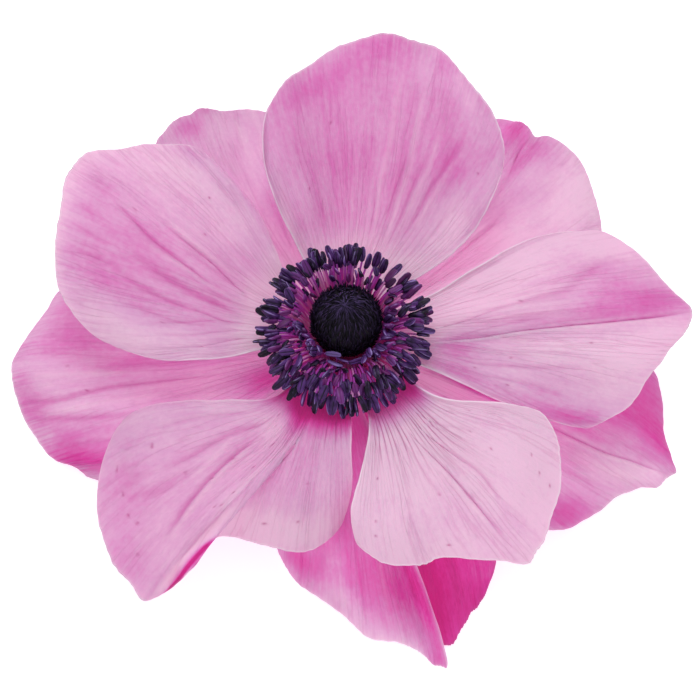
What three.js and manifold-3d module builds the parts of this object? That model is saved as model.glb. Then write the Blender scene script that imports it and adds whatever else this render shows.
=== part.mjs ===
// One open anemone flower, picked just under the bloom and lying face up: a short cut stalk that
// widens into the receptacle, eleven petal-like tepals in two layers, a ring of stamens and, in
// the middle, the domed head of pistils. Millimetres, +Z up. The flower stands on the tips of its
// outer tepals and the cut end of its stalk, and the origin is the middle of its footprint.
import * as THREE from "three";
import { mergeVertices } from "three/addons/utils/BufferGeometryUtils.js";
import Module from "manifold-3d";

const wasm = await Module();
wasm.setup();

// ---- Driving dimensions, in millimetres and degrees ----
const tepalLevel = 10; // height of the tepals' roots above the surface
const touchGap = 0.3; // clearance between pieces that touch on the real flower
const bladeThickness = 0.7;
const bladeGrid = { rows: 8, columns: 14 };
const stalk = { radius: 1.9, cutRadius: 2.05, cutHeight: 0.8, neckHeight: 5.6, neckRadius: 2.8 };

// Heights from here on are above tepalLevel.
const receptacle = { low: -3.2, shoulder: -1.8, rim: 1.1, top: 1.4, radius: 4.6, topRadius: 4.2 };
const pistil = { low: 1.7, centre: 5.2, top: 9.3, radius: 4.2, waist: 2.3 };
const pistilTips = { count: 90, low: 4.2, length: 1.05, width: 0.72, sunk: 0.3 };
const collar = { inner: 3.3, outer: 4.5, low: 1.7, top: 2.6 };
const filament = { width: 0.5, bow: 0.35 };
const anther = { length: 2.2, width: 0.85, endWidth: 0.47 };

// The stamens stand in whorls. reach: how far from the axis their anthers are. tilt: how steeply
// the anthers point up, in degrees. scatter: how far any one may differ from its whorl.
const whorls = [
  { count: 34, reach: 8.9, height: 4.3, tilt: 14, seed: 3 },
  { count: 28, reach: 7.5, height: 5.6, tilt: 38, seed: 7 },
  { count: 20, reach: 6.2, height: 5.6, tilt: 62, seed: 11 },
];
const scatter = { reach: 0.45, height: 0.6, tilt: 12 };

// The outlines below are given as the flower looks from the front, from viewElevation above the
// surface and viewDistance away: millimetres to the right of and above the axis at tepalLevel.
const viewElevation = THREE.MathUtils.degToRad(65);
const viewDistance = 450;

// ---- Small maths ----
const lerp = THREE.MathUtils.lerp;
const smoothstep = THREE.MathUtils.smoothstep;
const degToRad = THREE.MathUtils.degToRad;

// Repeatable draws between 0 and 1.
function seededRandom(seed) {
  let state = seed;
  return () => {
    state = (state * 1664525 + 1013904223) % 4294967296;
    return state / 4294967296;
  };
}

// The plan position of a point that looks to be at (right, up) and has the given height.
function planOf([right, up], height) {
  const sin = Math.sin(viewElevation);
  const cos = Math.cos(viewElevation);
  const nearer = (height - up * cos) / (sin - (up * cos) / viewDistance);
  const shrink = 1 - nearer / viewDistance;
  return new THREE.Vector3(right * shrink, up * shrink * sin - nearer * cos, 0);
}

// A smooth value along evenly spaced stations.
function alongStations(values, s) {
  const points = values.map((v, i) => new THREE.Vector3(i, v, 0));
  return new THREE.CatmullRomCurve3(points, false, "catmullrom", 0.5).getPoint(s).y;
}

// ---- Tepals ----
// rise: heights of the midline above tepalLevel at five even stations from root to tip.
// edges: what the two side margins add to that, on the side that comes first going clockwise,
// then on the other. fold: a crease along the blade that ends at share `at` of the far margin,
// with the margins `height` above it. waves: [share along the far margin, its half width, where
// on the blade it begins, height]. pleats: shallow ribs that fan out from the root.
// sideA, far and sideB list the margin clockwise, as it looks from the front.
const tepals = [
  {
    name: "tepal_inner_back",
    root: [86, 30],
    rise: [0.5, 1.9, 4.2, 6.3, 7.4],
    edges: [0.9, -0.4],
    pleats: { count: 4.5, height: 0.25, shift: 0.6 },
    waves: [[0.2, 0.12, 0.7, 0.5], [0.55, 0.1, 0.8, -0.4], [0.78, 0.14, 0.6, -0.7]],
    sideA: [[-5.6, 10.7], [-8.1, 15.9]],
    far: [
      [-9.6, 21.5], [-9.3, 26.8], [-7.3, 30.0], [-3.8, 32.7], [0.6, 35.0], [5.4, 35.7],
      [9.8, 34.7], [13.2, 32.2], [16.4, 28.0], [18.5, 24.2], [18.6, 20.6],
    ],
    sideB: [[16.6, 14.9], [12.9, 10.2]],
  },
  {
    name: "tepal_inner_right",
    root: [6, 30],
    rise: [0.5, 1.7, 2.5, 1.7, 0.2],
    edges: [0.2, 0.2],
    fold: { at: 0.45, height: 2.2 },
    pleats: { count: 5, height: 0.16, shift: 1.2 },
    waves: [[0.05, 0.12, 0.5, -1.1], [1, 0.35, 0, -2.6]],
    sideA: [[10.6, 5.5], [15.3, 8.4], [21.6, 11.8]],
    far: [
      [26.8, 12.7], [30.2, 12.6], [34.5, 10.2], [38.9, 5.6], [40.8, 3.1], [40.2, 0.5],
      [38.4, -1.3], [36.2, -4.0], [32.6, -8.6], [28.4, -10.5],
    ],
    sideB: [[22.9, -9.2], [15.3, -6.0], [9.5, -3.4]],
  },
  {
    name: "tepal_inner_front_right",
    root: [-58, 28],
    rise: [0.5, 1.9, 3.2, 3.2, 1.6],
    edges: [1.9, -0.6],
    pleats: { count: 4, height: 0.2, shift: 0.2 },
    waves: [[0.1, 0.12, 0.6, -0.7], [0.62, 0.07, 0.75, 0.9], [0.8, 0.1, 0.7, -0.8]],
    sideA: [[11.1, -6.8], [18.9, -7.6]],
    far: [
      [22.9, -8.5], [24.8, -11.3], [25.5, -16.0], [24.5, -20.7], [22.9, -24.7], [21.6, -26.4],
      [17.6, -26.1], [11.1, -25.9], [8.5, -26.8], [4.0, -26.2], [1.5, -24.1],
    ],
    sideB: [[0.7, -20.7], [1.4, -17.1], [2.5, -12.9], [2.7, -8.9]],
  },
  {
    name: "tepal_inner_front_left",
    root: [-122, 28],
    rise: [0.5, 1.7, 1.9, 0.3, -3.0],
    edges: [0.3, 0.4],
    pleats: { count: 4.5, height: 0.24, shift: 2.4 },
    waves: [[0.42, 0.09, 0.7, 1.2], [0.5, 0.06, 0.86, -3.2], [0.16, 0.1, 0.7, -0.6]],
    sideA: [[0.7, -8.9], [0.8, -13.6], [0.8, -17.6]],
    far: [
      [-0.4, -21.7], [-2.5, -24.1], [-5.3, -25.1], [-9.6, -24.2], [-15.0, -23.3], [-18.2, -27.3],
      [-21.2, -30.0], [-23.6, -30.8], [-25.4, -28.6], [-27.7, -25.7], [-29.1, -20.7],
      [-28.2, -13.6], [-25.6, -9.3],
    ],
    sideB: [[-21.4, -7.5], [-14.7, -7.1], [-8.0, -6.7]],
  },
  {
    name: "tepal_inner_left",
    root: [158, 30],
    rise: [0.5, 1.9, 3.5, 4.1, 3.2],
    edges: [-0.3, -0.5],
    pleats: { count: 4, height: 0.3, shift: 2.0 },
    waves: [[0.08, 0.14, 0.55, -1.0], [0.5, 0.16, 0.8, -0.8], [0.88, 0.12, 0.6, -0.9]],
    sideA: [[-10.0, -1.3], [-14.8, -2.4], [-21.2, -2.6]],
    far: [
      [-26.4, -1.2], [-30.6, 1.3], [-33.4, 5.5], [-34.2, 9.6], [-33.7, 14.7], [-32.7, 19.2],
      [-30.9, 21.5], [-26.4, 22.4], [-22.2, 23.0], [-17.8, 22.6], [-14.4, 19.4],
    ],
    sideB: [[-10.6, 15.5], [-8.0, 10.2], [-6.5, 6.4]],
  },
  {
    name: "tepal_outer_back_left",
    root: [122, 25],
    rise: [-1.3, -0.9, -1.8, -5.0, -9.65],
    edges: [0.3, 0.3],
    pleats: { count: 3, height: 0.2, shift: 0 },
    waves: [[0.35, 0.1, 0.8, 0.8]],
    sideA: [[-12.0, 8.5], [-19.5, 16.5]],
    far: [
      [-22.3, 21.5], [-21.8, 23.9], [-20.4, 25.5], [-18.5, 26.4], [-16.8, 27.3], [-14.3, 26.9],
      [-9.3, 26.8], [-6.4, 24.8], [-4.4, 21.0],
    ],
    sideB: [[-3.8, 15.5], [-3.5, 9.8]],
  },
  {
    name: "tepal_outer_back_right",
    root: [47, 25],
    rise: [-1.3, -0.9, -1.7, -4.9, -9.8],
    edges: [0.2, 0.9],
    pleats: { count: 3.5, height: 0.2, shift: 1 },
    waves: [[0.2, 0.06, 0.85, 0.6], [0.42, 0.06, 0.85, 0.7], [0.75, 0.12, 0.7, 0.9]],
    sideA: [[5.5, 10.5], [10.5, 17.0]],
    far: [
      [14.2, 23.2], [17.8, 26.0], [20.2, 25.7], [21.3, 25.3], [22.2, 24.1], [23.8, 24.0],
      [27.4, 21.3], [29.4, 16.6], [30.2, 12.6], [29.5, 9.6],
    ],
    sideB: [[24.5, 6.8], [16.0, 4.4]],
  },
  {
    name: "tepal_outer_right",
    root: [-17, 24],
    rise: [-1.4, -1.3, -2.4, -5.4, -9.9],
    edges: [-0.2, 0.4],
    fold: { at: 0.5, height: 1.8 },
    pleats: { count: 4, height: 0.14, shift: 0.5 },
    waves: [[0.8, 0.12, 0.7, 0.7]],
    sideA: [[14.0, 0.8], [24.5, 1.2], [33.0, -0.6]],
    far: [
      [36.2, -4.0], [37.2, -6.6], [37.5, -11.0], [38.4, -13.9], [38.95, -15.45],
      [38.1, -16.2], [37.0, -17.2], [34.8, -17.6], [32.6, -18.3], [29.5, -20.5],
      [26.6, -22.2], [24.0, -22.6],
    ],
    sideB: [[19.5, -20.0], [13.5, -14.0], [8.5, -9.0]],
  },
  {
    name: "tepal_outer_front_right",
    root: [-65, 18],
    rise: [-2.4, -3.3, -4.9, -7.0, -9.5],
    edges: [0.2, -0.4],
    pleats: { count: 2, height: 0.15, shift: 0 },
    waves: [],
    sideA: [[8.0, -10.5], [14.0, -15.5], [17.6, -20.5]],
    far: [
      [17.7, -26.2], [16.6, -29.9], [15.5, -31.5], [14.2, -33.3], [12.4, -36.0], [11.3, -36.0],
      [8.5, -34.6], [5.5, -32.0],
    ],
    sideB: [[3.6, -26.0], [3.0, -18.0], [2.6, -11.0]],
  },
  {
    name: "tepal_outer_front",
    root: [-104, 19],
    rise: [-1.5, -1.7, -3.0, -5.8, -9.8],
    edges: [0.6, 0.2],
    pleats: { count: 3, height: 0.14, shift: 0.8 },
    waves: [[0.5, 0.14, 0.7, 0.5]],
    sideA: [[2.6, -9.5], [5.0, -16.5], [8.0, -25.3], [10.6, -32.5]],
    far: [
      [12.0, -38.7], [10.7, -38.3], [9.3, -37.3], [7.2, -36.1], [2.7, -35.1], [-1.2, -31.8],
      [-5.4, -28.8], [-7.3, -26.2], [-8.0, -24.0],
    ],
    sideB: [[-7.6, -20.0], [-5.5, -14.0], [-3.6, -9.5]],
  },
  {
    name: "tepal_outer_left",
    root: [194, 27],
    rise: [-1.4, -1.4, -2.7, -5.6, -9.6],
    edges: [0.1, -0.2],
    pleats: { count: 5, height: 0.2, shift: 0.4 },
    waves: [[0.18, 0.07, 0.8, 0.8], [0.75, 0.12, 0.7, 0.5]],
    sideA: [[-8.6, -9.4], [-16.5, -13.6], [-24.0, -16.6]],
    far: [
      [-28.9, -16.7], [-31.0, -15.2], [-33.5, -14.4], [-36.6, -11.3], [-38.6, -7.1],
      [-39.3, -3.3], [-38.2, -0.9], [-35.3, 3.1], [-33.4, 5.5],
    ],
    sideB: [[-28.5, 6.6], [-21.5, 4.4], [-12.0, 2.6]],
  },
];

const foldRoundness = 0.04; // share of the blade's width that a fold's bottom is rounded over
const rootShare = 0.1; // share of the blade's length, from the root, that is plain

// Height of a blade above tepalLevel, s from root to tip and t clockwise across it.
function bladeHeight(tepal, s, t) {
  const side = t < 0.5 ? tepal.edges[0] : tepal.edges[1];
  let height = alongStations(tepal.rise, s);
  height += side * (2 * t - 1) ** 2 * s * s;
  if (tepal.fold) {
    const { at, height: foldHeight } = tepal.fold;
    const away = Math.hypot(t - at, foldRoundness) - foldRoundness;
    height += 2 * foldHeight * away * smoothstep(s, rootShare, 0.75);
  }
  for (const [at, halfWidth, begins, amount] of tepal.waves) {
    height += amount * Math.exp(-(((t - at) / halfWidth) ** 2)) * smoothstep(s, begins, 1);
  }
  const { count, height: pleat, shift } = tepal.pleats;
  height += pleat * Math.cos(2 * Math.PI * count * t + shift) * smoothstep(s, rootShare, 0.5);
  return height;
}

// The blade's middle surface as a function of s and t: its margin is a spline through the
// outline, and the surface between the margins is a Coons patch at bladeHeight.
function bladeSurface(tepal) {
  const { sideA, far, sideB } = tepal;
  const [azimuth, halfArc] = tepal.root;
  const rootAt = (t) => {
    const angle = degToRad(azimuth + halfArc * (1 - 2 * t));
    const radius = receptacle.radius + touchGap;
    return new THREE.Vector3(radius * Math.cos(angle), radius * Math.sin(angle), 0);
  };
  const onPlan = (point, s, t) => planOf(point, bladeHeight(tepal, s, t));
  const knots = [rootAt(0)];
  sideA.forEach((p, i) => knots.push(onPlan(p, (i + 1) / (sideA.length + 1), 0)));
  far.forEach((p, i) => knots.push(onPlan(p, 1, i / (far.length - 1))));
  sideB.forEach((p, i) => knots.push(onPlan(p, 1 - (i + 1) / (sideB.length + 1), 1)));
  knots.push(rootAt(1));
  const margin = new THREE.CatmullRomCurve3(knots, false, "centripetal");
  const last = knots.length - 1;
  const cornerA = sideA.length + 1;
  const cornerB = cornerA + far.length - 1;
  const alongA = (s) => margin.getPoint((cornerA * s) / last);
  const across = (t) => margin.getPoint(lerp(cornerA, cornerB, t) / last);
  const alongB = (s) => margin.getPoint(lerp(last, cornerB, s) / last);
  const corners = [alongA(0), alongB(0), alongA(1), alongB(1)];
  return (s, t) => {
    const weights = [(1 - s) * (1 - t), (1 - s) * t, s * (1 - t), s * t];
    const point = new THREE.Vector3()
      .addScaledVector(alongA(s), 1 - t)
      .addScaledVector(alongB(s), t)
      .addScaledVector(rootAt(t), 1 - s)
      .addScaledVector(across(t), s);
    corners.forEach((corner, i) => point.addScaledVector(corner, -weights[i]));
    point.z = tepalLevel + bladeHeight(tepal, s, t);
    return point;
  };
}

// A closed blade: the surface grid, thickened along its normals, with both faces split alike.
function bladeGeometry(tepal) {
  const { rows, columns } = bladeGrid;
  const surface = bladeSurface(tepal);
  const grid = [];
  for (let i = 0; i <= rows; i++) {
    for (let j = 0; j <= columns; j++) grid.push(surface(i / rows, j / columns));
  }
  const at = (i, j) => i * (columns + 1) + j;
  const clampRow = (i) => THREE.MathUtils.clamp(i, 0, rows);
  const clampColumn = (j) => THREE.MathUtils.clamp(j, 0, columns);
  const positions = [];
  const halfThick = bladeThickness / 2;
  const normals = grid.map((_, k) => {
    const i = Math.floor(k / (columns + 1));
    const j = k % (columns + 1);
    const outward = grid[at(clampRow(i + 1), j)].clone().sub(grid[at(clampRow(i - 1), j)]);
    const sideways = grid[at(i, clampColumn(j + 1))].clone().sub(grid[at(i, clampColumn(j - 1))]);
    return sideways.cross(outward).normalize();
  });
  for (const face of [1, -1]) {
    grid.forEach((point, k) => {
      positions.push(...point.clone().addScaledVector(normals[k], face * halfThick).toArray());
    });
  }
  const under = grid.length;
  const indices = [];
  for (let i = 0; i < rows; i++) {
    for (let j = 0; j < columns; j++) {
      const [a, b, c, d] = [at(i, j), at(i, j + 1), at(i + 1, j + 1), at(i + 1, j)];
      indices.push(a, b, c, a, c, d);
      indices.push(under + a, under + c, under + b, under + a, under + d, under + c);
    }
  }
  const rim = [];
  for (let j = 0; j < columns; j++) rim.push(at(0, j));
  for (let i = 0; i < rows; i++) rim.push(at(i, columns));
  for (let j = columns; j > 0; j--) rim.push(at(rows, j));
  for (let i = rows; i > 0; i--) rim.push(at(i, 0));
  rim.forEach((from, k) => {
    const to = rim[(k + 1) % rim.length];
    indices.push(from, under + from, under + to, from, under + to, to);
  });
  return new THREE.BufferGeometry()
    .setAttribute("position", new THREE.Float32BufferAttribute(positions, 3))
    .setIndex(indices);
}

// ---- Joining solids ----
function toSolid(geometry) {
  const bare = geometry.clone();
  bare.deleteAttribute("normal");
  bare.deleteAttribute("uv");
  const merged = mergeVertices(bare, 1e-4);
  return new wasm.Manifold(
    new wasm.Mesh({
      numProp: 3,
      vertProperties: merged.attributes.position.array,
      triVerts: new Uint32Array(merged.index.array),
    }),
  );
}

function toGeometry(solid) {
  const mesh = solid.getMesh();
  return new THREE.BufferGeometry()
    .setAttribute("position", new THREE.BufferAttribute(mesh.vertProperties, 3))
    .setIndex(new THREE.BufferAttribute(mesh.triVerts, 1));
}

function lathe(profile, segments) {
  const points = profile.map(([radius, height]) => new THREE.Vector2(radius, height));
  return new THREE.LatheGeometry(points, segments).rotateX(Math.PI / 2);
}

// A closed tube with three or more sides that follows the given centres, each with its width.
function taperedRod(stations, sides) {
  const axis = stations.at(-1).at.clone().sub(stations[0].at).normalize();
  const helper = Math.abs(axis.z) > 0.9 ? new THREE.Vector3(1, 0, 0) : new THREE.Vector3(0, 0, 1);
  const across = new THREE.Vector3().crossVectors(axis, helper).normalize();
  const upward = new THREE.Vector3().crossVectors(across, axis);
  const positions = [];
  for (const { at, width } of stations) {
    for (let k = 0; k < sides; k++) {
      const angle = (2 * Math.PI * k) / sides;
      const point = at
        .clone()
        .addScaledVector(across, (width / 2) * Math.cos(angle))
        .addScaledVector(upward, (width / 2) * Math.sin(angle));
      positions.push(...point.toArray());
    }
  }
  const indices = [];
  const last = (stations.length - 1) * sides;
  for (let k = 1; k < sides - 1; k++) {
    indices.push(0, k, k + 1);
    indices.push(last, last + k + 1, last + k);
  }
  for (let i = 0; i < stations.length - 1; i++) {
    for (let k = 0; k < sides; k++) {
      const a = i * sides + k;
      const b = i * sides + ((k + 1) % sides);
      indices.push(a, a + sides, b, b, a + sides, b + sides);
    }
  }
  return new THREE.BufferGeometry()
    .setAttribute("position", new THREE.Float32BufferAttribute(positions, 3))
    .setIndex(indices);
}

// ---- Stalk and receptacle ----
function stalkAndReceptacle() {
  const { radius, cutRadius, cutHeight, neckHeight, neckRadius } = stalk;
  const { low, shoulder, rim, top, topRadius } = receptacle;
  return lathe(
    [
      [0, 0],
      [cutRadius, 0],
      [radius, cutHeight],
      [radius, neckHeight],
      [neckRadius, tepalLevel + low],
      [receptacle.radius, tepalLevel + shoulder],
      [receptacle.radius, tepalLevel + rim],
      [topRadius, tepalLevel + top],
      [0, tepalLevel + top],
    ],
    20,
  );
}

// ---- Pistil head: a dome covered with short blunt tips in a sunflower spiral ----
function pistilHead() {
  const { low, centre, top, radius, waist } = pistil;
  const domeRadiusAt = (height) => {
    const reach = height > centre ? top - centre : top - low;
    return radius * Math.sqrt(Math.max(0, 1 - ((height - centre) / reach) ** 2));
  };
  const rings = 6;
  const profile = [[0, tepalLevel + low], [waist, tepalLevel + low]];
  for (let i = 0; i < rings; i++) {
    const height = lerp(pistilTips.low, top, Math.sin((Math.PI / 2) * (i / rings)));
    profile.push([domeRadiusAt(height), tepalLevel + height]);
  }
  profile.push([0, tepalLevel + top]);
  const goldenAngle = Math.PI * (3 - Math.sqrt(5));
  const parts = [toSolid(lathe(profile, 16))];
  for (let i = 0; i < pistilTips.count; i++) {
    const height = lerp(top, pistilTips.low, (i + 0.5) / pistilTips.count);
    const angle = i * goldenAngle;
    const spread = domeRadiusAt(height) - pistilTips.sunk;
    const lean = new THREE.Vector3(spread * Math.cos(angle), spread * Math.sin(angle), 0);
    const root = lean.clone().setZ(tepalLevel + height - pistilTips.sunk);
    const outward = lean.setZ(height - pistilTips.low).normalize();
    const tip = root.clone().addScaledVector(outward, pistilTips.length);
    const rod = [{ at: root, width: pistilTips.width }, { at: tip, width: pistilTips.width / 2 }];
    parts.push(toSolid(taperedRod(rod, 4)));
  }
  return toGeometry(wasm.Manifold.union(parts));
}

// ---- Stamens: filaments on a low collar, each bowed once and tipped with its anther ----
function stamenRing() {
  const { inner, outer, low, top } = collar;
  const band = [[inner, low], [outer, low], [outer, top], [inner, top], [inner, low]];
  const parts = [toSolid(lathe(band.map(([r, h]) => [r, tepalLevel + h]), 40))];
  for (const whorl of whorls) {
    const random = seededRandom(whorl.seed);
    const around = (value, spread) => value + spread * (2 * random() - 1);
    for (let i = 0; i < whorl.count; i++) {
      const angle = (2 * Math.PI * (i + 0.5 * random())) / whorl.count;
      const reach = around(whorl.reach, scatter.reach);
      const height = around(whorl.height, scatter.height);
      const tilt = degToRad(around(whorl.tilt, scatter.tilt));
      const place = (r, h) =>
        new THREE.Vector3(r * Math.cos(angle), r * Math.sin(angle), tepalLevel + h);
      const root = place(lerp(inner, outer, 0.6), lerp(low, top, 0.5));
      const knee = place(lerp(outer, reach, 0.5) + filament.bow, lerp(top, height, 0.4));
      const neck = place(reach, height);
      const thread = [root, knee, neck].map((at) => ({ at, width: filament.width }));
      parts.push(toSolid(taperedRod(thread, 3)));
      const along = place(Math.cos(tilt), Math.sin(tilt) - tepalLevel);
      const stations = [[-0.35, anther.endWidth], [-0.1, anther.width]];
      stations.push([0.5, anther.width], [0.65, anther.endWidth]);
      const pod = stations.map(([share, width]) => ({
        at: neck.clone().addScaledVector(along, share * anther.length),
        width,
      }));
      parts.push(toSolid(taperedRod(pod, 4)));
    }
  }
  return toGeometry(wasm.Manifold.union(parts));
}

// ---- The flower ----
function paint(red, green, blue, roughness) {
  return new THREE.MeshStandardMaterial({
    color: new THREE.Color(red, green, blue),
    roughness,
    metalness: 0,
    flatShading: true,
  });
}

const innerPink = paint(0.76, 0.42, 0.63, 0.6);
const outerPink = paint(0.68, 0.22, 0.46, 0.6);
const stalkGreen = paint(0.28, 0.3, 0.12, 0.75);
const pistilBlack = paint(0.02, 0.012, 0.035, 0.55);
const stamenViolet = paint(0.06, 0.022, 0.1, 0.55);

function piece(name, geometry, material) {
  const mesh = new THREE.Mesh(geometry, material);
  mesh.name = name;
  return mesh;
}

const flower = new THREE.Group();
flower.add(piece("stalk_and_receptacle", stalkAndReceptacle(), stalkGreen));
flower.add(piece("pistil_head", pistilHead(), pistilBlack));
flower.add(piece("stamen_ring", stamenRing(), stamenViolet));
for (const tepal of tepals) {
  const material = tepal.name.includes("inner") ? innerPink : outerPink;
  flower.add(piece(tepal.name, bladeGeometry(tepal), material));
}

// The origin goes to the middle of the footprint, on the surface.
const bounds = new THREE.Box3().setFromObject(flower);
const middle = bounds.getCenter(new THREE.Vector3());
flower.position.set(-middle.x, -middle.y, -bounds.min.z);

export default flower;
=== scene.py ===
# An open pink anemone, lying face up on a pale floor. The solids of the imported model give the
# places and sizes; this script dresses them. Shapes are worked out in millimetres from the
# flower's axis at the height where the tepals grow, and placed in metres.
import math
import bpy
import numpy as np
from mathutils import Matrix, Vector


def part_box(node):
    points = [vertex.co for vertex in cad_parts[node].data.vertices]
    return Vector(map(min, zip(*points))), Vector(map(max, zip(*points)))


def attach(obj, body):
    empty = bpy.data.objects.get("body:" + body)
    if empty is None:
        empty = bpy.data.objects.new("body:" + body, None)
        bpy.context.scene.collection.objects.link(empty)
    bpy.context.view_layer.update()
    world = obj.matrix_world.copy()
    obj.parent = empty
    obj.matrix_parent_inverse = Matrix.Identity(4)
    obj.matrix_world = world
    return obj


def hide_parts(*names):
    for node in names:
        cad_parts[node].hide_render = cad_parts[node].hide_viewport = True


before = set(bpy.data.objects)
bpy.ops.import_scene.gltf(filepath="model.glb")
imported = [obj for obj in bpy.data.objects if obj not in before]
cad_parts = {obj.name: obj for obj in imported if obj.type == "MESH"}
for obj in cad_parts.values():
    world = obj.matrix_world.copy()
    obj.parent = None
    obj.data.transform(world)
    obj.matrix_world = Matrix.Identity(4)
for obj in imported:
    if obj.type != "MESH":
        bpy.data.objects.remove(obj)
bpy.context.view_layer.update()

mm = 0.001
rootHeight = 10.0  # of the tepals' roots above the cut end of the stalk
stalkLow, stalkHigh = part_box("stalk_and_receptacle")
axisPlace = np.array([
    (stalkLow[0] + stalkHigh[0]) / 2,
    (stalkLow[1] + stalkHigh[1]) / 2,
    stalkLow[2] + rootHeight * mm,
])

# how the photograph looks at the flower
camera = {
    "elevation": math.radians(65),
    "distance": 450.0,
    "frameWidth": 82.35,  # what the frame spans at that distance
    "aim": (0.59, -1.29),  # the frame's centre, right of and above the flower's axis
    "sensor": 36.0,
    "clipStart": 10.0,
}


def linear(red, green, blue):
    # a shader colour from the usual 0 to 255 values
    def channel(value):
        value /= 255
        return value / 12.92 if value <= 0.04045 else ((value + 0.055) / 1.055) ** 2.4
    return (channel(red), channel(green), channel(blue), 1.0)


class Wire:
    # one output socket; Python's operators on it add Math nodes
    def __init__(self, graph, socket):
        self.graph = graph
        self.socket = socket

    def __add__(self, other):
        return self.graph.math("ADD", self, other)

    def __sub__(self, other):
        return self.graph.math("SUBTRACT", self, other)

    def __rsub__(self, other):
        return self.graph.math("SUBTRACT", other, self)

    def __mul__(self, other):
        return self.graph.math("MULTIPLY", self, other)

    def __truediv__(self, other):
        return self.graph.math("DIVIDE", self, other)

    __radd__ = __add__
    __rmul__ = __mul__


class Graph:
    # a shader or geometry node tree that is being wired
    def __init__(self, tree):
        self.tree = tree
        self.entry = None

    def node(self, kind, settings=None, inputs=None, out=0):
        made = self.tree.nodes.new(kind)
        for name, value in (settings or {}).items():
            if name == "stops":
                self.setStops(made.color_ramp, value)
            else:
                setattr(made, name, value)
        for key, value in (inputs or {}).items():
            socket = self.pick(made.inputs, key)
            for one in value if isinstance(value, list) else [value]:
                if isinstance(one, Wire):
                    self.tree.links.new(one.socket, socket)
                else:
                    socket.default_value = one
        return Wire(self, self.pick(made.outputs, out))

    @staticmethod
    def setStops(ramp, stops):
        while len(ramp.elements) < len(stops):
            ramp.elements.new(0.5)
        for element, (position, colour) in zip(ramp.elements, stops):
            element.position = position
            element.color = colour

    @staticmethod
    def pick(sockets, key):
        live = [socket for socket in sockets if socket.enabled]
        if isinstance(key, int):
            return live[key]
        return next(socket for socket in live if socket.name == key)

    def math(self, operation, *values):
        inputs = dict(enumerate(values))
        return self.node("ShaderNodeMath", {"operation": operation}, inputs)

    def clamp(self, value):
        settings = {"operation": "ADD", "use_clamp": True}
        return self.node("ShaderNodeMath", settings, {0: value, 1: 0.0})

    def step(self, value, low, high):
        # 0 below low, 1 above high, smooth between
        limits = {"From Min": low, "From Max": high, "Value": value}
        return self.node("ShaderNodeMapRange", {"interpolation_type": "SMOOTHSTEP"}, limits)

    def mix(self, factor, first, second):
        inputs = {"Factor": factor, "A": first, "B": second}
        return self.node("ShaderNodeMix", {"data_type": "RGBA"}, inputs)

    def vector(self, x, y, z):
        return self.node("ShaderNodeCombineXYZ", None, {"X": x, "Y": y, "Z": z})

    def part(self, vector, axis):
        return self.node("ShaderNodeSeparateXYZ", None, {"Vector": vector}, axis)

    def vectorMath(self, operation, first, second):
        return self.node("ShaderNodeVectorMath", {"operation": operation}, {0: first, 1: second})

    def attribute(self, name):
        return self.node("ShaderNodeAttribute", {"attribute_name": name}, None, "Fac")

    def noise(self, place, scale, detail):
        inputs = {"Vector": place, "Scale": scale, "Detail": detail}
        return self.node("ShaderNodeTexNoise", None, inputs)

    def bump(self, height, strength, distance):
        inputs = {"Strength": strength, "Distance": distance * mm, "Height": height}
        return self.node("ShaderNodeBump", None, inputs)

    def named(self, name, value):
        # an input of a geometry tree, which its modifier can set
        kind = "NodeSocketInt" if isinstance(value, int) else "NodeSocketFloat"
        socket = self.tree.interface.new_socket(name=name, in_out="INPUT", socket_type=kind)
        socket.default_value = value
        if self.entry is None:
            self.entry = self.tree.nodes.new("NodeGroupInput")
        return Wire(self, self.pick(self.entry.outputs, name))

    def drawing(self, index, seed):
        # gives a function that draws a number for each point, apart for every step
        def draw(least, most, step):
            limits = {"Min": least, "Max": most, "ID": index, "Seed": seed + step}
            return self.node("FunctionNodeRandomValue", {"data_type": "FLOAT"}, limits, "Value")
        return draw

    def store(self, geometry, name, value, kind="FLOAT"):
        inputs = {"Geometry": geometry, "Name": name, "Value": value}
        return self.node("GeometryNodeStoreNamedAttribute", {"data_type": kind}, inputs)

    def stored(self, name, kind="FLOAT"):
        return self.node("GeometryNodeInputNamedAttribute", {"data_type": kind}, {"Name": name})

    def pointing(self, heading):
        # the rotation that turns +Z to a heading
        inputs = {"Vector": heading}
        return self.node("FunctionNodeAlignRotationToVector", {"axis": "Z"}, inputs)

    def settled(self, geometry, material):
        # real meshes in the shared frame, in one material
        whole = self.node("GeometryNodeRealizeInstances", None, {"Geometry": geometry})
        place = {"Geometry": whole, "Translation": tuple(axisPlace), "Scale": (mm, mm, mm)}
        whole = self.node("GeometryNodeTransform", None, place)
        inputs = {"Geometry": whole, "Material": material}
        return self.node("GeometryNodeSetMaterial", None, inputs)

    def finish(self, result):
        # joins the result to the tree's way out
        if self.tree.type == "SHADER":
            output = self.tree.nodes.new("ShaderNodeOutputMaterial")
        else:
            kind = "NodeSocketGeometry"
            self.tree.interface.new_socket(name="Geometry", in_out="OUTPUT", socket_type=kind)
            output = self.tree.nodes.new("NodeGroupOutput")
        self.tree.links.new(result.socket, output.inputs[0])


def newMaterial(name, slotColour):
    material = bpy.data.materials.new(name)
    material.use_nodes = True
    material.diffuse_color = slotColour
    graph = Graph(material.node_tree)
    graph.tree.nodes.clear()
    return material, graph


def linkObject(name, mesh):
    piece = bpy.data.objects.new(name, mesh)
    bpy.context.collection.objects.link(piece)
    return piece


def placed(points):
    # from millimetres round the flower's axis to the shared frame
    return np.asarray(points) * mm + axisPlace


def smoothFaces(mesh):
    mesh.polygons.foreach_set("use_smooth", np.ones(len(mesh.polygons), dtype=bool))


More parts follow.
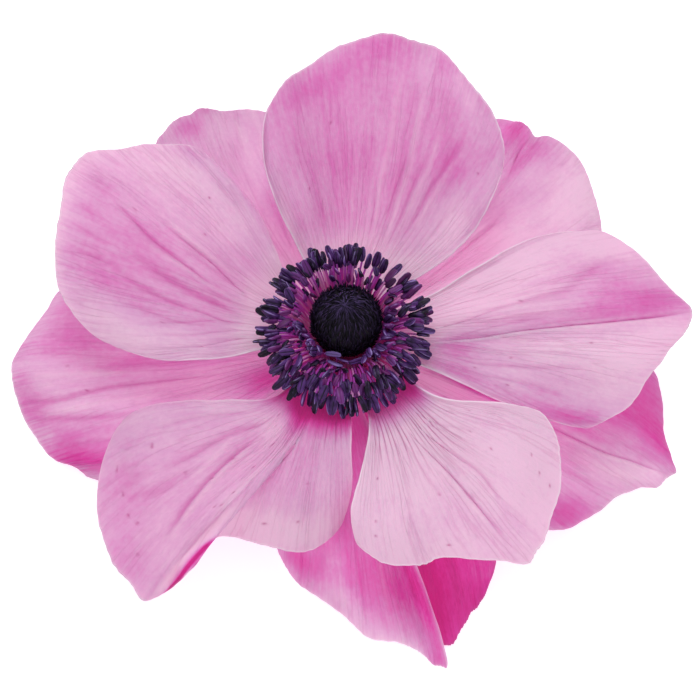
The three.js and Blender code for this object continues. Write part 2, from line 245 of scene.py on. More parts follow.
# Tepals. root: azimuth and half width of the arc it grows from, in degrees. rise: heights of the
# midline at five even stations from root to tip. edges: what the side margins add, first the one
# that comes first going clockwise. fold: a crease that ends at share "at" of the far margin, with
# the margins "height" above it. waves: share along the far margin, half width, where on the blade
# it begins, height. pleats: shallow ribs that fan out. sideA, far and sideB: the margin as it
# looks from the camera, clockwise, in millimetres right of and above the axis.
# tone: 0 for the palest pink to 1 for the hottest, which patches and furrows add to. patches:
# across, along, half sizes across and along, strength; besides the tepal's own blotches they
# hold painted shade, hotter where other tepals or the stamens shade the blade, and painted light,
# paler where it lies open. furrows: how far across at even steps, where they begin and end along
# the blade, half width across, strength; those below 0 are paler and raised, and the tone they
# add is painted shade in the furrows and a painted highlight on the ribs. specks: dark dots,
# across and along. lines: where fine dark lines fan out, across from and to, along from and to,
# strength. fan: how straight the veins fan out from the root rather than follow the margins, at
# even steps across. comb: strength of the fine streaks near the margin. glow: tone that the root
# adds: painted shade where the stamen ring shades it, and below 0 painted light that pales it.
# light: painted light and shade, what the colour is multiplied by, to make up for how the blade
# lies to the lamps; lights add to it by patches, painted light above 0 and painted shade below 0,
# each given as in patches.

plainTepal = {"fan": (0.4, 0.4), "comb": 0.4, "specks": ()}  # where a tepal has none of its own
tepals = {
    "tepal_inner_back": {
        "root": (86, 30),
        "rise": (0.5, 1.9, 4.2, 6.3, 7.4),
        "edges": (0.9, -0.4),
        "pleats": {"count": 4.5, "height": 0.25, "shift": 0.6},
        "waves": ((0.2, 0.12, 0.7, 0.5), (0.55, 0.1, 0.8, -0.4), (0.78, 0.14, 0.6, -0.7)),
        "sideA": ((-5.6, 10.7), (-8.1, 15.9)),
        "far": (
            (-9.6, 21.5), (-9.3, 26.8), (-7.3, 30.0), (-3.8, 32.7), (0.6, 35.0), (5.4, 35.7),
            (9.8, 34.7), (13.2, 32.2), (16.4, 28.0), (18.5, 24.2), (18.6, 20.6),
        ),
        "sideB": ((16.6, 14.9), (12.9, 10.2)),
        "comb": 0.5,
        "glow": -0.42,
        "light": 0.91,
        "lights": (
            (0.68, 0.93, 0.06, 0.1, 0.05), (0.57, 0.98, 0.05, 0.05, -0.08),
            (0.9, 0.4, 0.1, 0.22, 0.1), (0.06, 0.6, 0.06, 0.3, 0.1),
        ),
        "tone": 0.42,
        "patches": (
            (0.3, 0.9, 0.14, 0.07, 0.22), (0.5, 0.95, 0.12, 0.07, 0.15),
            (0.72, 0.68, 0.1, 0.16, 0.1), (0.3, 0.6, 0.22, 0.3, 0.1),
            (0.77, 0.62, 0.07, 0.12, 0.2), (0.6, 0.91, 0.04, 0.09, -0.2),
            (0.74, 0.93, 0.05, 0.06, -0.2), (0.02, 0.52, 0.03, 0.1, -0.25),
            (0.95, 0.82, 0.05, 0.18, -0.1), (0.9, 0.36, 0.11, 0.2, -0.45),
            (0.06, 0.6, 0.06, 0.25, -0.1), (0.5, 0.12, 0.6, 0.12, -0.15),
        ),
        "furrows": (
            ((0.378, 0.38, 0.398), 0.24, 0.51, 0.009, -0.25),
            ((0.517, 0.492, 0.505, 0.52, 0.527, 0.547), 0.22, 0.9, 0.009, -0.35),
            ((0.603, 0.59, 0.605, 0.603, 0.603, 0.615), 0.22, 0.88, 0.009, -0.32),
            ((0.65, 0.655, 0.68, 0.685, 0.682), 0.24, 0.78, 0.009, -0.25),
            ((0.715, 0.735, 0.758, 0.797), 0.26, 0.77, 0.009, -0.25),
            ((0.795, 0.823, 0.888), 0.24, 0.61, 0.008, -0.15),
            ((0.487, 0.482, 0.485), 0.24, 0.49, 0.009, 0.25),
            ((0.555, 0.557, 0.575, 0.578), 0.23, 0.62, 0.01, 0.35),
            ((0.628, 0.63, 0.645, 0.66), 0.24, 0.62, 0.01, 0.32),
            ((0.695, 0.703, 0.728, 0.75, 0.772), 0.25, 0.82, 0.01, 0.35),
            ((0.64, 0.64), 0.74, 0.88, 0.012, 0.2),
            ((0.805, 0.823, 0.87), 0.24, 0.58, 0.012, 0.25),
        ),
        "specks": ((0.2, 0.5), (0.33, 0.72), (0.86, 0.7)),
        "lines": (0.0, 1.0, 0.1, 0.5, 0.3),
    },
    "tepal_inner_right": {
        "root": (6, 30),
        "rise": (0.5, 1.7, 2.5, 1.7, 0.2),
        "edges": (0.2, 0.2),
        "fold": {"at": 0.45, "height": 2.2},
        "pleats": {"count": 5, "height": 0.16, "shift": 1.2},
        "waves": ((0.05, 0.12, 0.5, -1.1), (1, 0.35, 0, -2.6)),
        "sideA": ((10.6, 5.5), (15.3, 8.4), (21.6, 11.8)),
        "far": (
            (26.8, 12.7), (30.2, 12.6), (34.5, 10.2), (38.8, 5.5), (40.85, 3.25), (39.9, 0.7),
            (38.0, -1.6), (36.2, -4.0), (32.6, -8.6), (28.4, -10.5),
        ),
        "sideB": ((22.9, -9.2), (15.3, -6.0), (9.5, -3.4)),
        "glow": -0.35,
        "light": 0.985,
        "lights": (
            (0.2, 0.2, 0.12, 0.15, 0.1), (0.64, 0.65, 0.06, 0.2, 0.06),
            (0.65, 0.85, 0.08, 0.15, 0.06), (0.33, 0.93, 0.1, 0.1, -0.09),
        ),
        "tone": 0.25,
        "patches": (
            (0.37, 0.9, 0.08, 0.16, 0.46), (0.27, 0.8, 0.08, 0.15, 0.15),
            (0.75, 0.85, 0.12, 0.12, -0.15), (0.42, 0.72, 0.04, 0.14, 0.2),
            (0.4, 0.5, 0.1, 0.2, 0.12), (0.2, 0.36, 0.2, 0.26, -0.35),
            (0.12, 0.67, 0.1, 0.2, -0.2), (0.59, 0.95, 0.1, 0.07, -0.3),
            (0.95, 0.78, 0.06, 0.2, 0.3), (0.86, 0.67, 0.07, 0.12, 0.14),
            (0.75, 0.64, 0.07, 0.14, -0.18), (0.89, 0.9, 0.05, 0.08, 0.08),
            (0.66, 0.86, 0.12, 0.16, -0.18), (0.15, 0.9, 0.12, 0.14, -0.32),
            (0.63, 0.66, 0.06, 0.2, -0.22), (0.93, 0.3, 0.07, 0.18, 0.35),
            (0.97, 0.84, 0.06, 0.12, 0.3), (0.75, 0.25, 0.16, 0.1, 0.45),
            (0.46, 0.04, 0.5, 0.05, 0.6),
        ),
        "furrows": (
            ((0.715, 0.635, 0.545, 0.497, 0.48, 0.465, 0.445), 0.18, 1.0, 0.008, 0.8),
            ((0.69, 0.61, 0.52, 0.472, 0.455, 0.44, 0.42), 0.18, 0.98, 0.026, 0.25),
            ((0.737, 0.657, 0.567, 0.519, 0.502, 0.487, 0.467), 0.18, 1.0, 0.012, -0.3),
            ((0.515, 0.422, 0.343, 0.31, 0.302, 0.295, 0.258, 0.238, 0.23), 0.15, 0.93, 0.014, 0.3),
            ((0.682, 0.537, 0.46, 0.43), 0.2, 0.55, 0.018, 0.25),
            ((0.422, 0.395, 0.38, 0.38, 0.378), 0.31, 0.69, 0.01, -0.25),
            ((0.398, 0.305, 0.3, 0.295, 0.28, 0.278, 0.285), 0.23, 0.74, 0.01, -0.22),
            ((0.268, 0.273, 0.253), 0.44, 0.71, 0.008, 0.2),
            ((0.833, 0.835, 0.823, 0.81, 0.792, 0.765), 0.29, 0.75, 0.009, 0.3),
            ((0.88, 0.885, 0.865, 0.873), 0.32, 0.76, 0.008, 0.25),
        ),
        "specks": ((0.86, 0.4), (0.9, 0.55), (0.78, 0.5), (0.3, 0.5), (0.62, 0.7)),
        "lines": (0.0, 1.0, 0.1, 0.5, 0.35),
    },
    "tepal_inner_front_right": {
        "root": (-58, 28),
        "rise": (0.5, 1.9, 3.2, 3.2, 1.6),
        "edges": (1.9, -0.6),
        "pleats": {"count": 4, "height": 0.2, "shift": 0.2},
        "waves": ((0.1, 0.12, 0.6, -0.7), (0.62, 0.07, 0.75, 0.9), (0.8, 0.1, 0.7, -0.8)),
        "sideA": ((11.1, -6.8), (18.9, -7.6)),
        "far": (
            (22.9, -8.5), (24.8, -11.3), (25.5, -16.0), (24.5, -20.7), (22.9, -24.7),
            (21.6, -26.4), (17.6, -26.1), (11.1, -25.9), (8.5, -26.8), (4.0, -26.2), (1.5, -24.1),
        ),
        "sideB": ((0.7, -20.7), (1.4, -17.1), (2.5, -12.9), (2.7, -8.9)),
        "comb": 0.1,
        "glow": 1.1,
        "light": 1.0,
        "lights": ((0.05, 0.4, 0.07, 0.15, 0.08), (0.55, 0.22, 0.2, 0.08, -0.03)),
        "tone": -0.01,
        "patches": (
            (0.6, 0.72, 0.25, 0.2, 0.12), (0.17, 0.2, 0.1, 0.08, 0.2),
            (0.05, 0.33, 0.07, 0.15, -0.25),
        ),
        "furrows": (
            ((0.598, 0.555, 0.53, 0.52, 0.515, 0.508, 0.512), 0.27, 0.89, 0.009, 0.5),
            ((0.465, 0.393, 0.365, 0.357, 0.38, 0.393), 0.24, 0.75, 0.009, 0.4),
            ((0.667, 0.65, 0.642, 0.628, 0.62), 0.3, 0.67, 0.008, 0.25),
            ((0.725, 0.723, 0.718, 0.71), 0.3, 0.64, 0.01, 0.2),
            ((0.858, 0.878, 0.88, 0.853), 0.21, 0.58, 0.008, 0.2),
            ((0.37, 0.292, 0.297), 0.24, 0.42, 0.008, 0.25),
            ((0.35, 0.283, 0.223, 0.217), 0.2, 0.5, 0.007, 0.22),
            ((0.58, 0.55, 0.54, 0.535), 0.4, 0.85, 0.012, -0.2),
        ),
        "specks": (
            (0.095, 0.45), (0.217, 0.45), (0.198, 0.78), (0.235, 0.85), (0.885, 0.51),
            (0.25, 0.56), (0.245, 0.93), (0.63, 0.59), (0.88, 0.75), (0.885, 0.84), (0.665, 0.92),
        ),
        "lines": (0.15, 0.92, 0.14, 0.55, 1.0),
    },
    "tepal_inner_front_left": {
        "root": (-122, 28),
        "rise": (0.5, 1.7, 1.9, 0.3, -3.0),
        "edges": (0.3, 0.4),
        "pleats": {"count": 4.5, "height": 0.06, "shift": 2.4},
        "waves": ((0.42, 0.09, 0.7, 1.2), (0.5, 0.06, 0.86, -3.2), (0.16, 0.1, 0.7, -0.6)),
        "sideA": ((0.7, -8.9), (0.8, -13.6), (0.8, -17.6)),
        "far": (
            (-0.4, -21.7), (-2.5, -24.1), (-5.3, -25.1), (-9.6, -24.2), (-15.0, -23.3),
            (-18.2, -27.3), (-21.2, -30.0), (-23.6, -30.8), (-25.4, -28.6), (-27.7, -25.7),
            (-29.1, -20.7), (-28.2, -13.6), (-25.6, -9.3),
        ),
        "sideB": ((-21.4, -7.5), (-14.7, -7.1), (-8.0, -6.7)),
        "fan": (1.0, 1.0, 0.3, 0.1),
        "comb": 0.2,
        "glow": 1.3,
        "light": 0.955,
        "lights": (
            (0.5, 0.4, 0.05, 0.25, 0.08), (0.44, 0.8, 0.06, 0.12, 0.12),
            (0.58, 0.47, 0.06, 0.2, 0.08), (0.52, 0.92, 0.03, 0.08, 0.08),
            (0.45, 0.93, 0.05, 0.08, 0.25),
        ),
        "tone": 0.29,
        "patches": (
            (0.2, 0.9, 0.22, 0.12, -0.26), (0.45, 0.8, 0.05, 0.1, -0.1),
            (0.82, 0.85, 0.1, 0.12, 0.12), (0.3, 0.45, 0.14, 0.25, 0.12),
            (0.57, 0.2, 0.12, 0.08, 0.3), (0.66, 0.95, 0.08, 0.06, 0.12),
            # painted shade: these hot patches near the tip colour the strip that bends steeply down
            # beyond a ridge
            (0.428, 0.865, 0.024, 0.04, 1.0), (0.442, 0.915, 0.024, 0.04, 1.0),
            (0.39, 0.98, 0.025, 0.06, 0.8), (0.455, 0.955, 0.024, 0.035, 0.9),
            (0.455, 1.0, 0.02, 0.035, 0.9), (0.48, 1.0, 0.018, 0.03, 0.9),
            (0.5, 1.0, 0.018, 0.025, 0.7), (0.502, 0.85, 0.022, 0.07, -0.35),
            (0.475, 0.7, 0.04, 0.1, -0.42), (0.3, 0.93, 0.08, 0.07, -0.3),
            (0.58, 0.47, 0.05, 0.15, -0.2), (0.53, 0.93, 0.03, 0.06, -0.25),
            (0.33, 0.9, 0.04, 0.05, -0.2), (0.88, 0.18, 0.16, 0.1, -0.45),
        ),
        "furrows": (
            ((0.84, 0.855, 0.845, 0.83, 0.833), 0.26, 0.71, 0.011, 0.4),
            ((0.785, 0.76, 0.735, 0.705, 0.677, 0.655), 0.34, 0.82, 0.011, 0.6),
            ((0.762, 0.737, 0.712, 0.682, 0.654, 0.632), 0.36, 0.82, 0.01, -0.35),
            ((0.785, 0.77, 0.782, 0.805, 0.828), 0.54, 0.88, 0.01, 0.3),
            ((0.795, 0.8, 0.835), 0.59, 0.84, 0.009, 0.22),
            ((0.815, 0.8, 0.775), 0.3, 0.52, 0.009, 0.28),
            ((0.833, 0.79, 0.77, 0.765, 0.753), 0.41, 0.77, 0.008, -0.28),
            ((0.915, 0.93, 0.91), 0.3, 0.75, 0.008, 0.2),
        ),
        "specks": (
            (0.682, 0.29), (0.685, 0.3), (0.647, 0.4), (0.615, 0.59), (0.595, 0.57),
            (0.755, 0.84), (0.828, 0.86), (0.792, 0.6), (0.883, 0.72), (0.782, 0.86),
            (0.753, 0.43), (0.728, 0.53), (0.775, 0.25), (0.823, 0.22), (0.328, 0.49),
            (0.215, 0.61), (0.2, 0.84), (0.603, 0.51), (0.268, 0.89), (0.693, 0.91),
            (0.873, 0.89),
        ),
        "lines": (0.0, 0.62, 0.16, 0.5, 1.0),
    },
    "tepal_inner_left": {
        "root": (158, 30),
        "rise": (0.5, 1.9, 3.5, 4.1, 3.2),
        "edges": (-0.3, -0.5),
        "pleats": {"count": 4, "height": 0.3, "shift": 2.0},
        "waves": ((0.08, 0.14, 0.55, -1.0), (0.5, 0.16, 0.8, -0.8), (0.88, 0.12, 0.6, -0.9)),
        "sideA": ((-10.0, -1.3), (-14.8, -2.4), (-21.2, -2.6)),
        "far": (
            (-26.4, -1.2), (-30.6, 1.3), (-33.4, 5.5), (-34.2, 9.6), (-33.7, 14.7), (-32.7, 19.2),
            (-30.9, 21.5), (-26.4, 22.4), (-22.2, 23.0), (-17.8, 22.6), (-14.4, 19.4),
        ),
        "sideB": ((-10.6, 15.5), (-8.0, 10.2), (-6.5, 6.4)),
        "comb": 0.7,
        "glow": -0.5,
        "light": 0.95,
        "lights": ((0.25, 0.45, 0.12, 0.25, 0.06), (0.6, 0.97, 0.12, 0.07, 0.03)),
        "tone": 0.35,
        "patches": (
            (0.37, 0.83, 0.14, 0.13, 0.07), (0.3, 0.83, 0.06, 0.1, 0.05),
            (0.45, 0.88, 0.03, 0.05, 0.1), (0.545, 0.88, 0.04, 0.06, 0.18),
            (0.3, 0.6, 0.2, 0.2, 0.08), (0.76, 0.86, 0.1, 0.12, -0.3),
            (0.74, 0.62, 0.09, 0.15, -0.22), (0.17, 0.85, 0.08, 0.12, -0.2),
            (0.07, 0.7, 0.11, 0.35, -0.25), (0.45, 1.0, 0.4, 0.04, -0.3),
            (0.5, 0.12, 0.6, 0.12, -0.2), (0.86, 0.68, 0.08, 0.14, -0.12),
            (0.44, 0.65, 0.08, 0.12, 0.1), (0.6, 0.93, 0.14, 0.12, -0.15),
            (0.36, 0.2, 0.1, 0.1, 0.15), (0.65, 0.04, 0.3, 0.06, 0.8),
        ),
        "furrows": (
            ((0.44, 0.46, 0.473, 0.485, 0.508, 0.53), 0.4, 0.84, 0.009, 0.6),
            ((0.34, 0.357, 0.365, 0.378, 0.39, 0.408), 0.26, 0.74, 0.018, 0.45),
            ((0.52, 0.53, 0.54, 0.545), 0.24, 0.6, 0.022, 0.22),
            ((0.4, 0.42), 0.24, 0.5, 0.02, 0.2),
            ((0.27, 0.27, 0.295, 0.3, 0.312, 0.328, 0.355), 0.23, 0.8, 0.011, 0.4),
            ((0.485, 0.542, 0.57, 0.578, 0.578, 0.588), 0.23, 0.68, 0.01, 0.45),
            ((0.212, 0.22, 0.24, 0.25), 0.42, 0.78, 0.01, 0.22),
            ((0.268, 0.22, 0.17), 0.34, 0.7, 0.007, 0.28),
            ((0.2, 0.168, 0.135), 0.23, 0.67, 0.007, 0.25),
            ((0.133, 0.11, 0.075), 0.23, 0.67, 0.007, 0.25),
            ((0.45, 0.45), 0.86, 0.98, 0.006, 0.4), ((0.395, 0.395), 0.82, 0.98, 0.006, 0.4),
            ((0.345, 0.345), 0.75, 0.97, 0.006, 0.35), ((0.5, 0.5), 0.88, 0.98, 0.006, 0.3),
            ((0.425, 0.445, 0.455), 0.3, 0.72, 0.011, -0.3),
            ((0.61, 0.6, 0.605), 0.3, 0.72, 0.011, -0.25),
        ),
        "specks": ((0.3, 0.45), (0.2, 0.6), (0.55, 0.75), (0.67, 0.55), (0.8, 0.7), (0.1, 0.5)),
        "lines": (0.0, 1.0, 0.1, 0.5, 0.35),
    },
    "tepal_outer_back_left": {
        "root": (122, 25),
        "rise": (-1.3, -0.9, -1.8, -5.0, -9.65),
        "edges": (0.3, 0.3),
        "pleats": {"count": 3, "height": 0.2, "shift": 0},
        "waves": ((0.35, 0.1, 0.8, 0.8),),
        "sideA": ((-12.0, 8.5), (-19.5, 16.5)),
        "far": (
            (-22.3, 21.5), (-21.8, 23.9), (-20.4, 25.5), (-18.5, 26.4), (-16.8, 27.3),
            (-14.3, 26.9), (-9.3, 26.8), (-6.4, 24.8), (-4.4, 21.0),
        ),
        "sideB": ((-3.8, 15.5), (-3.5, 9.8)),
        "glow": -0.5,
        "light": 0.87,
        "lights": ((0.75, 0.6, 0.08, 0.25, 0.08), (0.54, 0.98, 0.15, 0.06, -0.06)),
        "tone": 0.3,
        "patches": (
            (0.36, 0.92, 0.13, 0.06, 0.36), (0.5, 0.98, 0.08, 0.03, 0.25),
            (0.69, 0.45, 0.05, 0.14, 0.15), (0.6, 0.9, 0.1, 0.1, -0.08),
            (0.6, 0.3, 0.4, 0.16, -0.15),
        ),
        "furrows": (
            ((0.7, 0.71), 0.3, 0.52, 0.012, 0.3), ((0.62, 0.62), 0.3, 0.8, 0.012, 0.15),
            ((0.76, 0.78), 0.35, 0.9, 0.01, 0.15),
        ),
        "lines": (0.0, 1.0, 0.1, 0.5, 0.3),
    },
    "tepal_outer_back_right": {
        "root": (47, 25),
        "rise": (-1.3, -0.9, -1.7, -4.9, -9.8),
        "edges": (0.2, 0.9),
        "pleats": {"count": 3.5, "height": 0.2, "shift": 1},
        "waves": ((0.2, 0.06, 0.85, 0.6), (0.42, 0.06, 0.85, 0.7), (0.75, 0.12, 0.7, 0.9)),
        "sideA": ((5.5, 10.5), (10.5, 17.0)),
        "far": (
            (14.2, 23.2), (17.8, 26.0), (20.2, 25.7), (21.3, 25.3), (22.2, 24.1), (23.8, 24.0),
            (27.4, 21.3), (29.4, 16.6), (30.2, 12.6), (29.5, 9.6),
        ),
        "sideB": ((24.5, 6.8), (16.0, 4.4)),
        "glow": -0.6,
        "light": 0.93,
        "lights": ((0.65, 0.38, 0.15, 0.2, 0.12), (0.25, 0.95, 0.12, 0.1, 0.12)),
        "tone": 0.24,
        "patches": (
            (0.28, 0.94, 0.16, 0.13, 0.6), (0.48, 0.8, 0.09, 0.15, 0.35),
            (0.59, 0.5, 0.03, 0.2, 0.1), (0.74, 0.9, 0.1, 0.16, -0.25),
            (0.8, 0.5, 0.1, 0.25, -0.2), (0.7, 0.33, 0.3, 0.18, -0.65),
            (0.56, 0.9, 0.08, 0.08, 0.22), (0.5, 0.4, 0.05, 0.15, 0.6),
        ),
        "furrows": (
            ((0.458, 0.417, 0.44), 0.76, 0.99, 0.011, 0.45),
            ((0.515, 0.527), 0.8, 0.94, 0.011, 0.3),
            ((0.613, 0.61, 0.61, 0.59), 0.25, 0.62, 0.01, 0.45),
            ((0.755, 0.738, 0.738), 0.4, 0.72, 0.012, 0.3), ((0.72, 0.75), 0.3, 0.9, 0.01, -0.15),
        ),
        "lines": (0.0, 1.0, 0.1, 0.6, 0.35),
    },
    "tepal_outer_right": {
        "root": (-17, 24),
        "rise": (-1.4, -1.3, -2.4, -5.4, -9.9),
        "edges": (-0.2, 0.4),
        "fold": {"at": 0.5, "height": 1.8},
        "pleats": {"count": 4, "height": 0.14, "shift": 0.5},
        "waves": ((0.8, 0.12, 0.7, 0.7),),
        "sideA": ((14.0, 0.8), (24.5, 1.2), (33.0, -0.6)),
        "far": (
            (36.2, -4.0), (37.2, -6.6), (37.5, -11.0), (38.4, -13.9), (38.95, -15.45),
            (38.1, -16.2), (37.0, -17.2), (34.8, -17.6), (32.6, -18.3), (29.5, -20.5),
            (26.6, -22.2), (24.0, -22.6),
        ),
        "sideB": ((19.5, -20.0), (13.5, -14.0), (8.5, -9.0)),
        "glow": -0.25,
        "light": 0.98,
        "lights": (
            (0.26, 0.87, 0.1, 0.12, 0.08), (0.5, 0.94, 0.1, 0.06, 0.12),
            (0.76, 0.65, 0.1, 0.15, 0.08), (0.5, 0.26, 0.06, 0.15, -0.25),
        ),
        "tone": 0.33,
        "patches": (
            (0.22, 0.87, 0.2, 0.28, 0.63), (0.6, 0.87, 0.09, 0.14, -0.3),
            (0.88, 0.9, 0.09, 0.14, 0.5), (0.66, 0.38, 0.06, 0.14, -0.5),
            # painted shadow: the narrow hot patches from (0.45, 0.16) to (0.587, 0.52) run under the
            # inner right tepal's margin
            (0.5, 0.62, 0.03, 0.08, 0.25), (0.45, 0.16, 0.035, 0.05, 0.65),
            (0.5, 0.23, 0.025, 0.05, 0.65), (0.54, 0.3, 0.022, 0.06, 0.65),
            (0.57, 0.4, 0.02, 0.07, 0.6), (0.587, 0.52, 0.025, 0.07, 0.4),
            (0.64, 0.2, 0.07, 0.12, -0.6), (0.47, 0.94, 0.07, 0.06, -0.25),
            (0.775, 0.97, 0.05, 0.07, -0.15),
        ),
        "furrows": (
            ((0.588, 0.568, 0.548, 0.51, 0.48, 0.422), 0.56, 1.0, 0.009, 0.5),
            ((0.615, 0.595, 0.575, 0.537, 0.507, 0.45), 0.56, 1.0, 0.012, -0.3),
            ((0.75, 0.738, 0.73), 0.7, 0.92, 0.008, 0.3), ((0.84, 0.85), 0.3, 0.95, 0.01, 0.18),
            ((0.475, 0.46, 0.44), 0.2, 0.5, 0.012, 0.4),
        ),
        "lines": (0.0, 1.0, 0.1, 0.6, 0.3),
    },
    "tepal_outer_front_right": {
        "root": (-65, 18),
        "rise": (-2.4, -3.3, -4.9, -7.0, -9.5),
        "edges": (0.2, -0.4),
        "pleats": {"count": 2, "height": 0.15, "shift": 0},
        "waves": (),
        "sideA": ((8.0, -10.5), (14.0, -15.5), (17.6, -20.5)),
        "far": (
            (17.7, -26.2), (16.6, -29.9), (15.5, -31.5), (14.2, -33.3), (12.4, -36.0),
            (11.3, -36.0), (8.5, -34.6), (5.5, -32.0),
        ),
        "sideB": ((3.6, -26.0), (3.0, -18.0), (2.6, -11.0)),
        "glow": 0.0,
        "light": 1.05,
        "lights": ((0.5, 0.3, 0.5, 0.25, -0.2),),
        # its hottest tone is partly its own deep pink and partly painted shade from the tepals in
        # front
        "tone": 1.1,
        "patches": (
            (0.66, 0.76, 0.13, 0.18, 0.3), (0.03, 0.95, 0.1, 0.12, -0.2),
            (0.22, 0.84, 0.14, 0.14, -0.12),
        ),
        "furrows": (
            ((0.42, 0.45, 0.47), 0.5, 0.95, 0.016, 0.15), ((0.6, 0.64), 0.5, 0.9, 0.016, 0.12),
        ),
        "lines": (0.0, 1.0, 0.1, 0.6, 0.2),
    },
    "tepal_outer_front": {
        "root": (-104, 19),
        "rise": (-1.5, -1.7, -3.0, -5.8, -9.8),
        "edges": (0.6, 0.2),
        "pleats": {"count": 3, "height": 0.14, "shift": 0.8},
        "waves": ((0.5, 0.14, 0.7, 0.5),),
        "sideA": ((2.6, -9.5), (5.0, -16.5), (8.0, -25.3), (10.6, -32.5)),
        "far": (
            (12.0, -38.7), (10.7, -38.3), (9.3, -37.3), (7.2, -36.1), (2.7, -35.1), (-1.2, -31.8),
            (-5.4, -28.8), (-7.3, -26.2), (-8.0, -24.0),
        ),
        "sideB": ((-7.6, -20.0), (-5.5, -14.0), (-3.6, -9.5)),
        "glow": 0.3,
        "light": 1.1,
        "lights": (
            (0.4, 0.72, 0.08, 0.2, 0.06), (0.1, 0.74, 0.12, 0.15, 0.28),
            (0.65, 0.94, 0.1, 0.08, -0.12), (0.55, 0.55, 0.12, 0.1, -0.2),
            (0.4, 0.3, 0.5, 0.2, -0.2),
        ),
        "tone": 0.36,
        "patches": (
            (0.3, 0.76, 0.24, 0.15, 0.55), (0.05, 0.84, 0.11, 0.25, 0.45),
            (0.82, 0.87, 0.09, 0.1, 0.32), (0.6, 0.9, 0.09, 0.08, -0.32),
            (0.45, 1.0, 0.16, 0.05, -0.25), (0.45, 0.3, 0.6, 0.25, 0.35),
            (0.6, 0.62, 0.16, 0.1, 0.28), (0.16, 0.97, 0.1, 0.05, 0.12),
            (0.74, 0.84, 0.07, 0.08, 0.2), (0.13, 0.68, 0.15, 0.1, 0.3),
            (0.66, 0.86, 0.08, 0.1, 0.3),
        ),
        "furrows": (
            ((0.5, 0.5), 0.4, 0.92, 0.012, 0.2), ((0.68, 0.66), 0.4, 0.92, 0.012, 0.2),
            ((0.4, 0.42), 0.6, 0.95, 0.01, -0.15),
        ),
        "lines": (0.0, 1.0, 0.1, 0.6, 0.3),
    },
    "tepal_outer_left": {
        "root": (194, 27),
        "rise": (-1.4, -1.4, -2.7, -5.6, -9.6),
        "edges": (0.1, -0.2),
        "pleats": {"count": 5, "height": 0.2, "shift": 0.4},
        "waves": ((0.18, 0.07, 0.8, 0.8), (0.75, 0.12, 0.7, 0.5)),
        "sideA": ((-8.6, -9.4), (-16.5, -13.6), (-24.0, -16.6)),
        "far": (
            (-28.9, -16.7), (-31.2, -15.5), (-33.6, -14.5), (-36.6, -11.3), (-38.6, -7.1),
            (-39.3, -3.3), (-38.2, -0.9), (-35.3, 3.1), (-33.4, 5.5),
        ),
        "sideB": ((-28.5, 6.6), (-21.5, 4.4), (-12.0, 2.6)),
        "comb": 1.0,
        "glow": -0.15,
        "light": 0.98,
        "lights": (
            (0.37, 0.2, 0.12, 0.12, -0.08), (0.47, 0.95, 0.12, 0.1, -0.1),
            (0.15, 0.95, 0.15, 0.1, -0.1),
        ),
        "tone": 0.31,
        "patches": (
            (0.25, 0.88, 0.12, 0.12, 0.52), (0.2, 0.76, 0.16, 0.2, 0.25),
            (0.73, 0.7, 0.06, 0.2, 0.25), (0.61, 0.48, 0.06, 0.16, 0.2),
            (0.45, 0.3, 0.3, 0.14, -0.15), (0.54, 0.88, 0.05, 0.14, -0.1),
            # (0.37, 0.18, 0.14, 0.1, 0.85) is painted shade, hot near the root where the stamen ring
            # shades it
            (0.52, 0.94, 0.08, 0.06, 0.2), (0.37, 0.18, 0.14, 0.1, 0.85),
            (0.2, 1.0, 0.15, 0.08, 0.25), (0.47, 0.94, 0.08, 0.08, 0.15),
            (0.88, 0.8, 0.1, 0.14, 0.3), (0.355, 0.95, 0.04, 0.06, -0.25),
            (0.44, 0.76, 0.03, 0.1, -0.15),
        ),
        "furrows": (
            ((0.512, 0.517, 0.51, 0.49, 0.475, 0.482), 0.32, 0.98, 0.01, 0.5),
            ((0.383, 0.405, 0.425), 0.6, 0.97, 0.012, 0.4), ((0.66, 0.68), 0.6, 0.97, 0.012, 0.2),
            ((0.3, 0.32), 0.6, 0.98, 0.012, 0.25), ((0.565, 0.57), 0.5, 0.97, 0.01, -0.25),
            ((0.45, 0.43), 0.5, 0.97, 0.01, -0.25),
        ),
        "specks": ((0.5, 0.7), (0.6, 0.75)),
        "lines": (0.0, 1.0, 0.12, 0.6, 0.4),
    },
}
tepals = {name: {**plainTepal, **own} for name, own in tepals.items()}

blade = {
    "rows": 104,
    "columns": 190,
    "closerTip": 0.5,  # how much closer the rows are set towards the tip
    "closerSides": 0.4,  # and the columns towards both sides
    "rootRadius": 4.4,  # sunk a little into the receptacle
    "thickness": 0.22,
    "rootThickness": 0.5,
    "roundedRim": 0.3,  # width of the margin over which a blade thins out
    "foldRoundness": 0.04,
    "plainRoot": 0.1,  # share of the length without a fold or pleats
    "foldFull": 0.75,  # where on the blade the fold has its whole height
    "pleatsFull": 0.5,
    "fanCentre": 1.4,  # from the axis: where the veins would meet
    "fanSpan": 1.5,  # in radians
    "fanReach": 25.0,
    # painted shade of the stamen ring round the roots (painted light where glow is below 0) fades out
    # between these
    "glowRadii": (9.2, 15.2),  # from the axis: where the root's glow fades
}


def softStep(value, low, high):
    share = np.clip((value - low) / (high - low), 0, 1)
    return share * share * (3 - 2 * share)


def fade(value, at, around):
    # 0 to 1 near at, from one offset to the other
    return softStep(value, at + around[0], at + around[1])


def hill(distance, halfWidth):
    return np.exp(-((distance / halfWidth) ** 2))


def unit(vectors):
    return vectors / np.linalg.norm(vectors, axis=-1, keepdims=True)


def hermite(start, end, startSlope, endSlope, share):
    bend = 2 * start - 2 * end + startSlope + endSlope
    turn = 3 * (end - start) - 2 * startSlope - endSlope
    return start + share * (startSlope + share * (turn + share * bend))


def padded(knots):
    return np.concatenate([[2 * knots[0] - knots[1]], knots, [2 * knots[-1] - knots[-2]]])


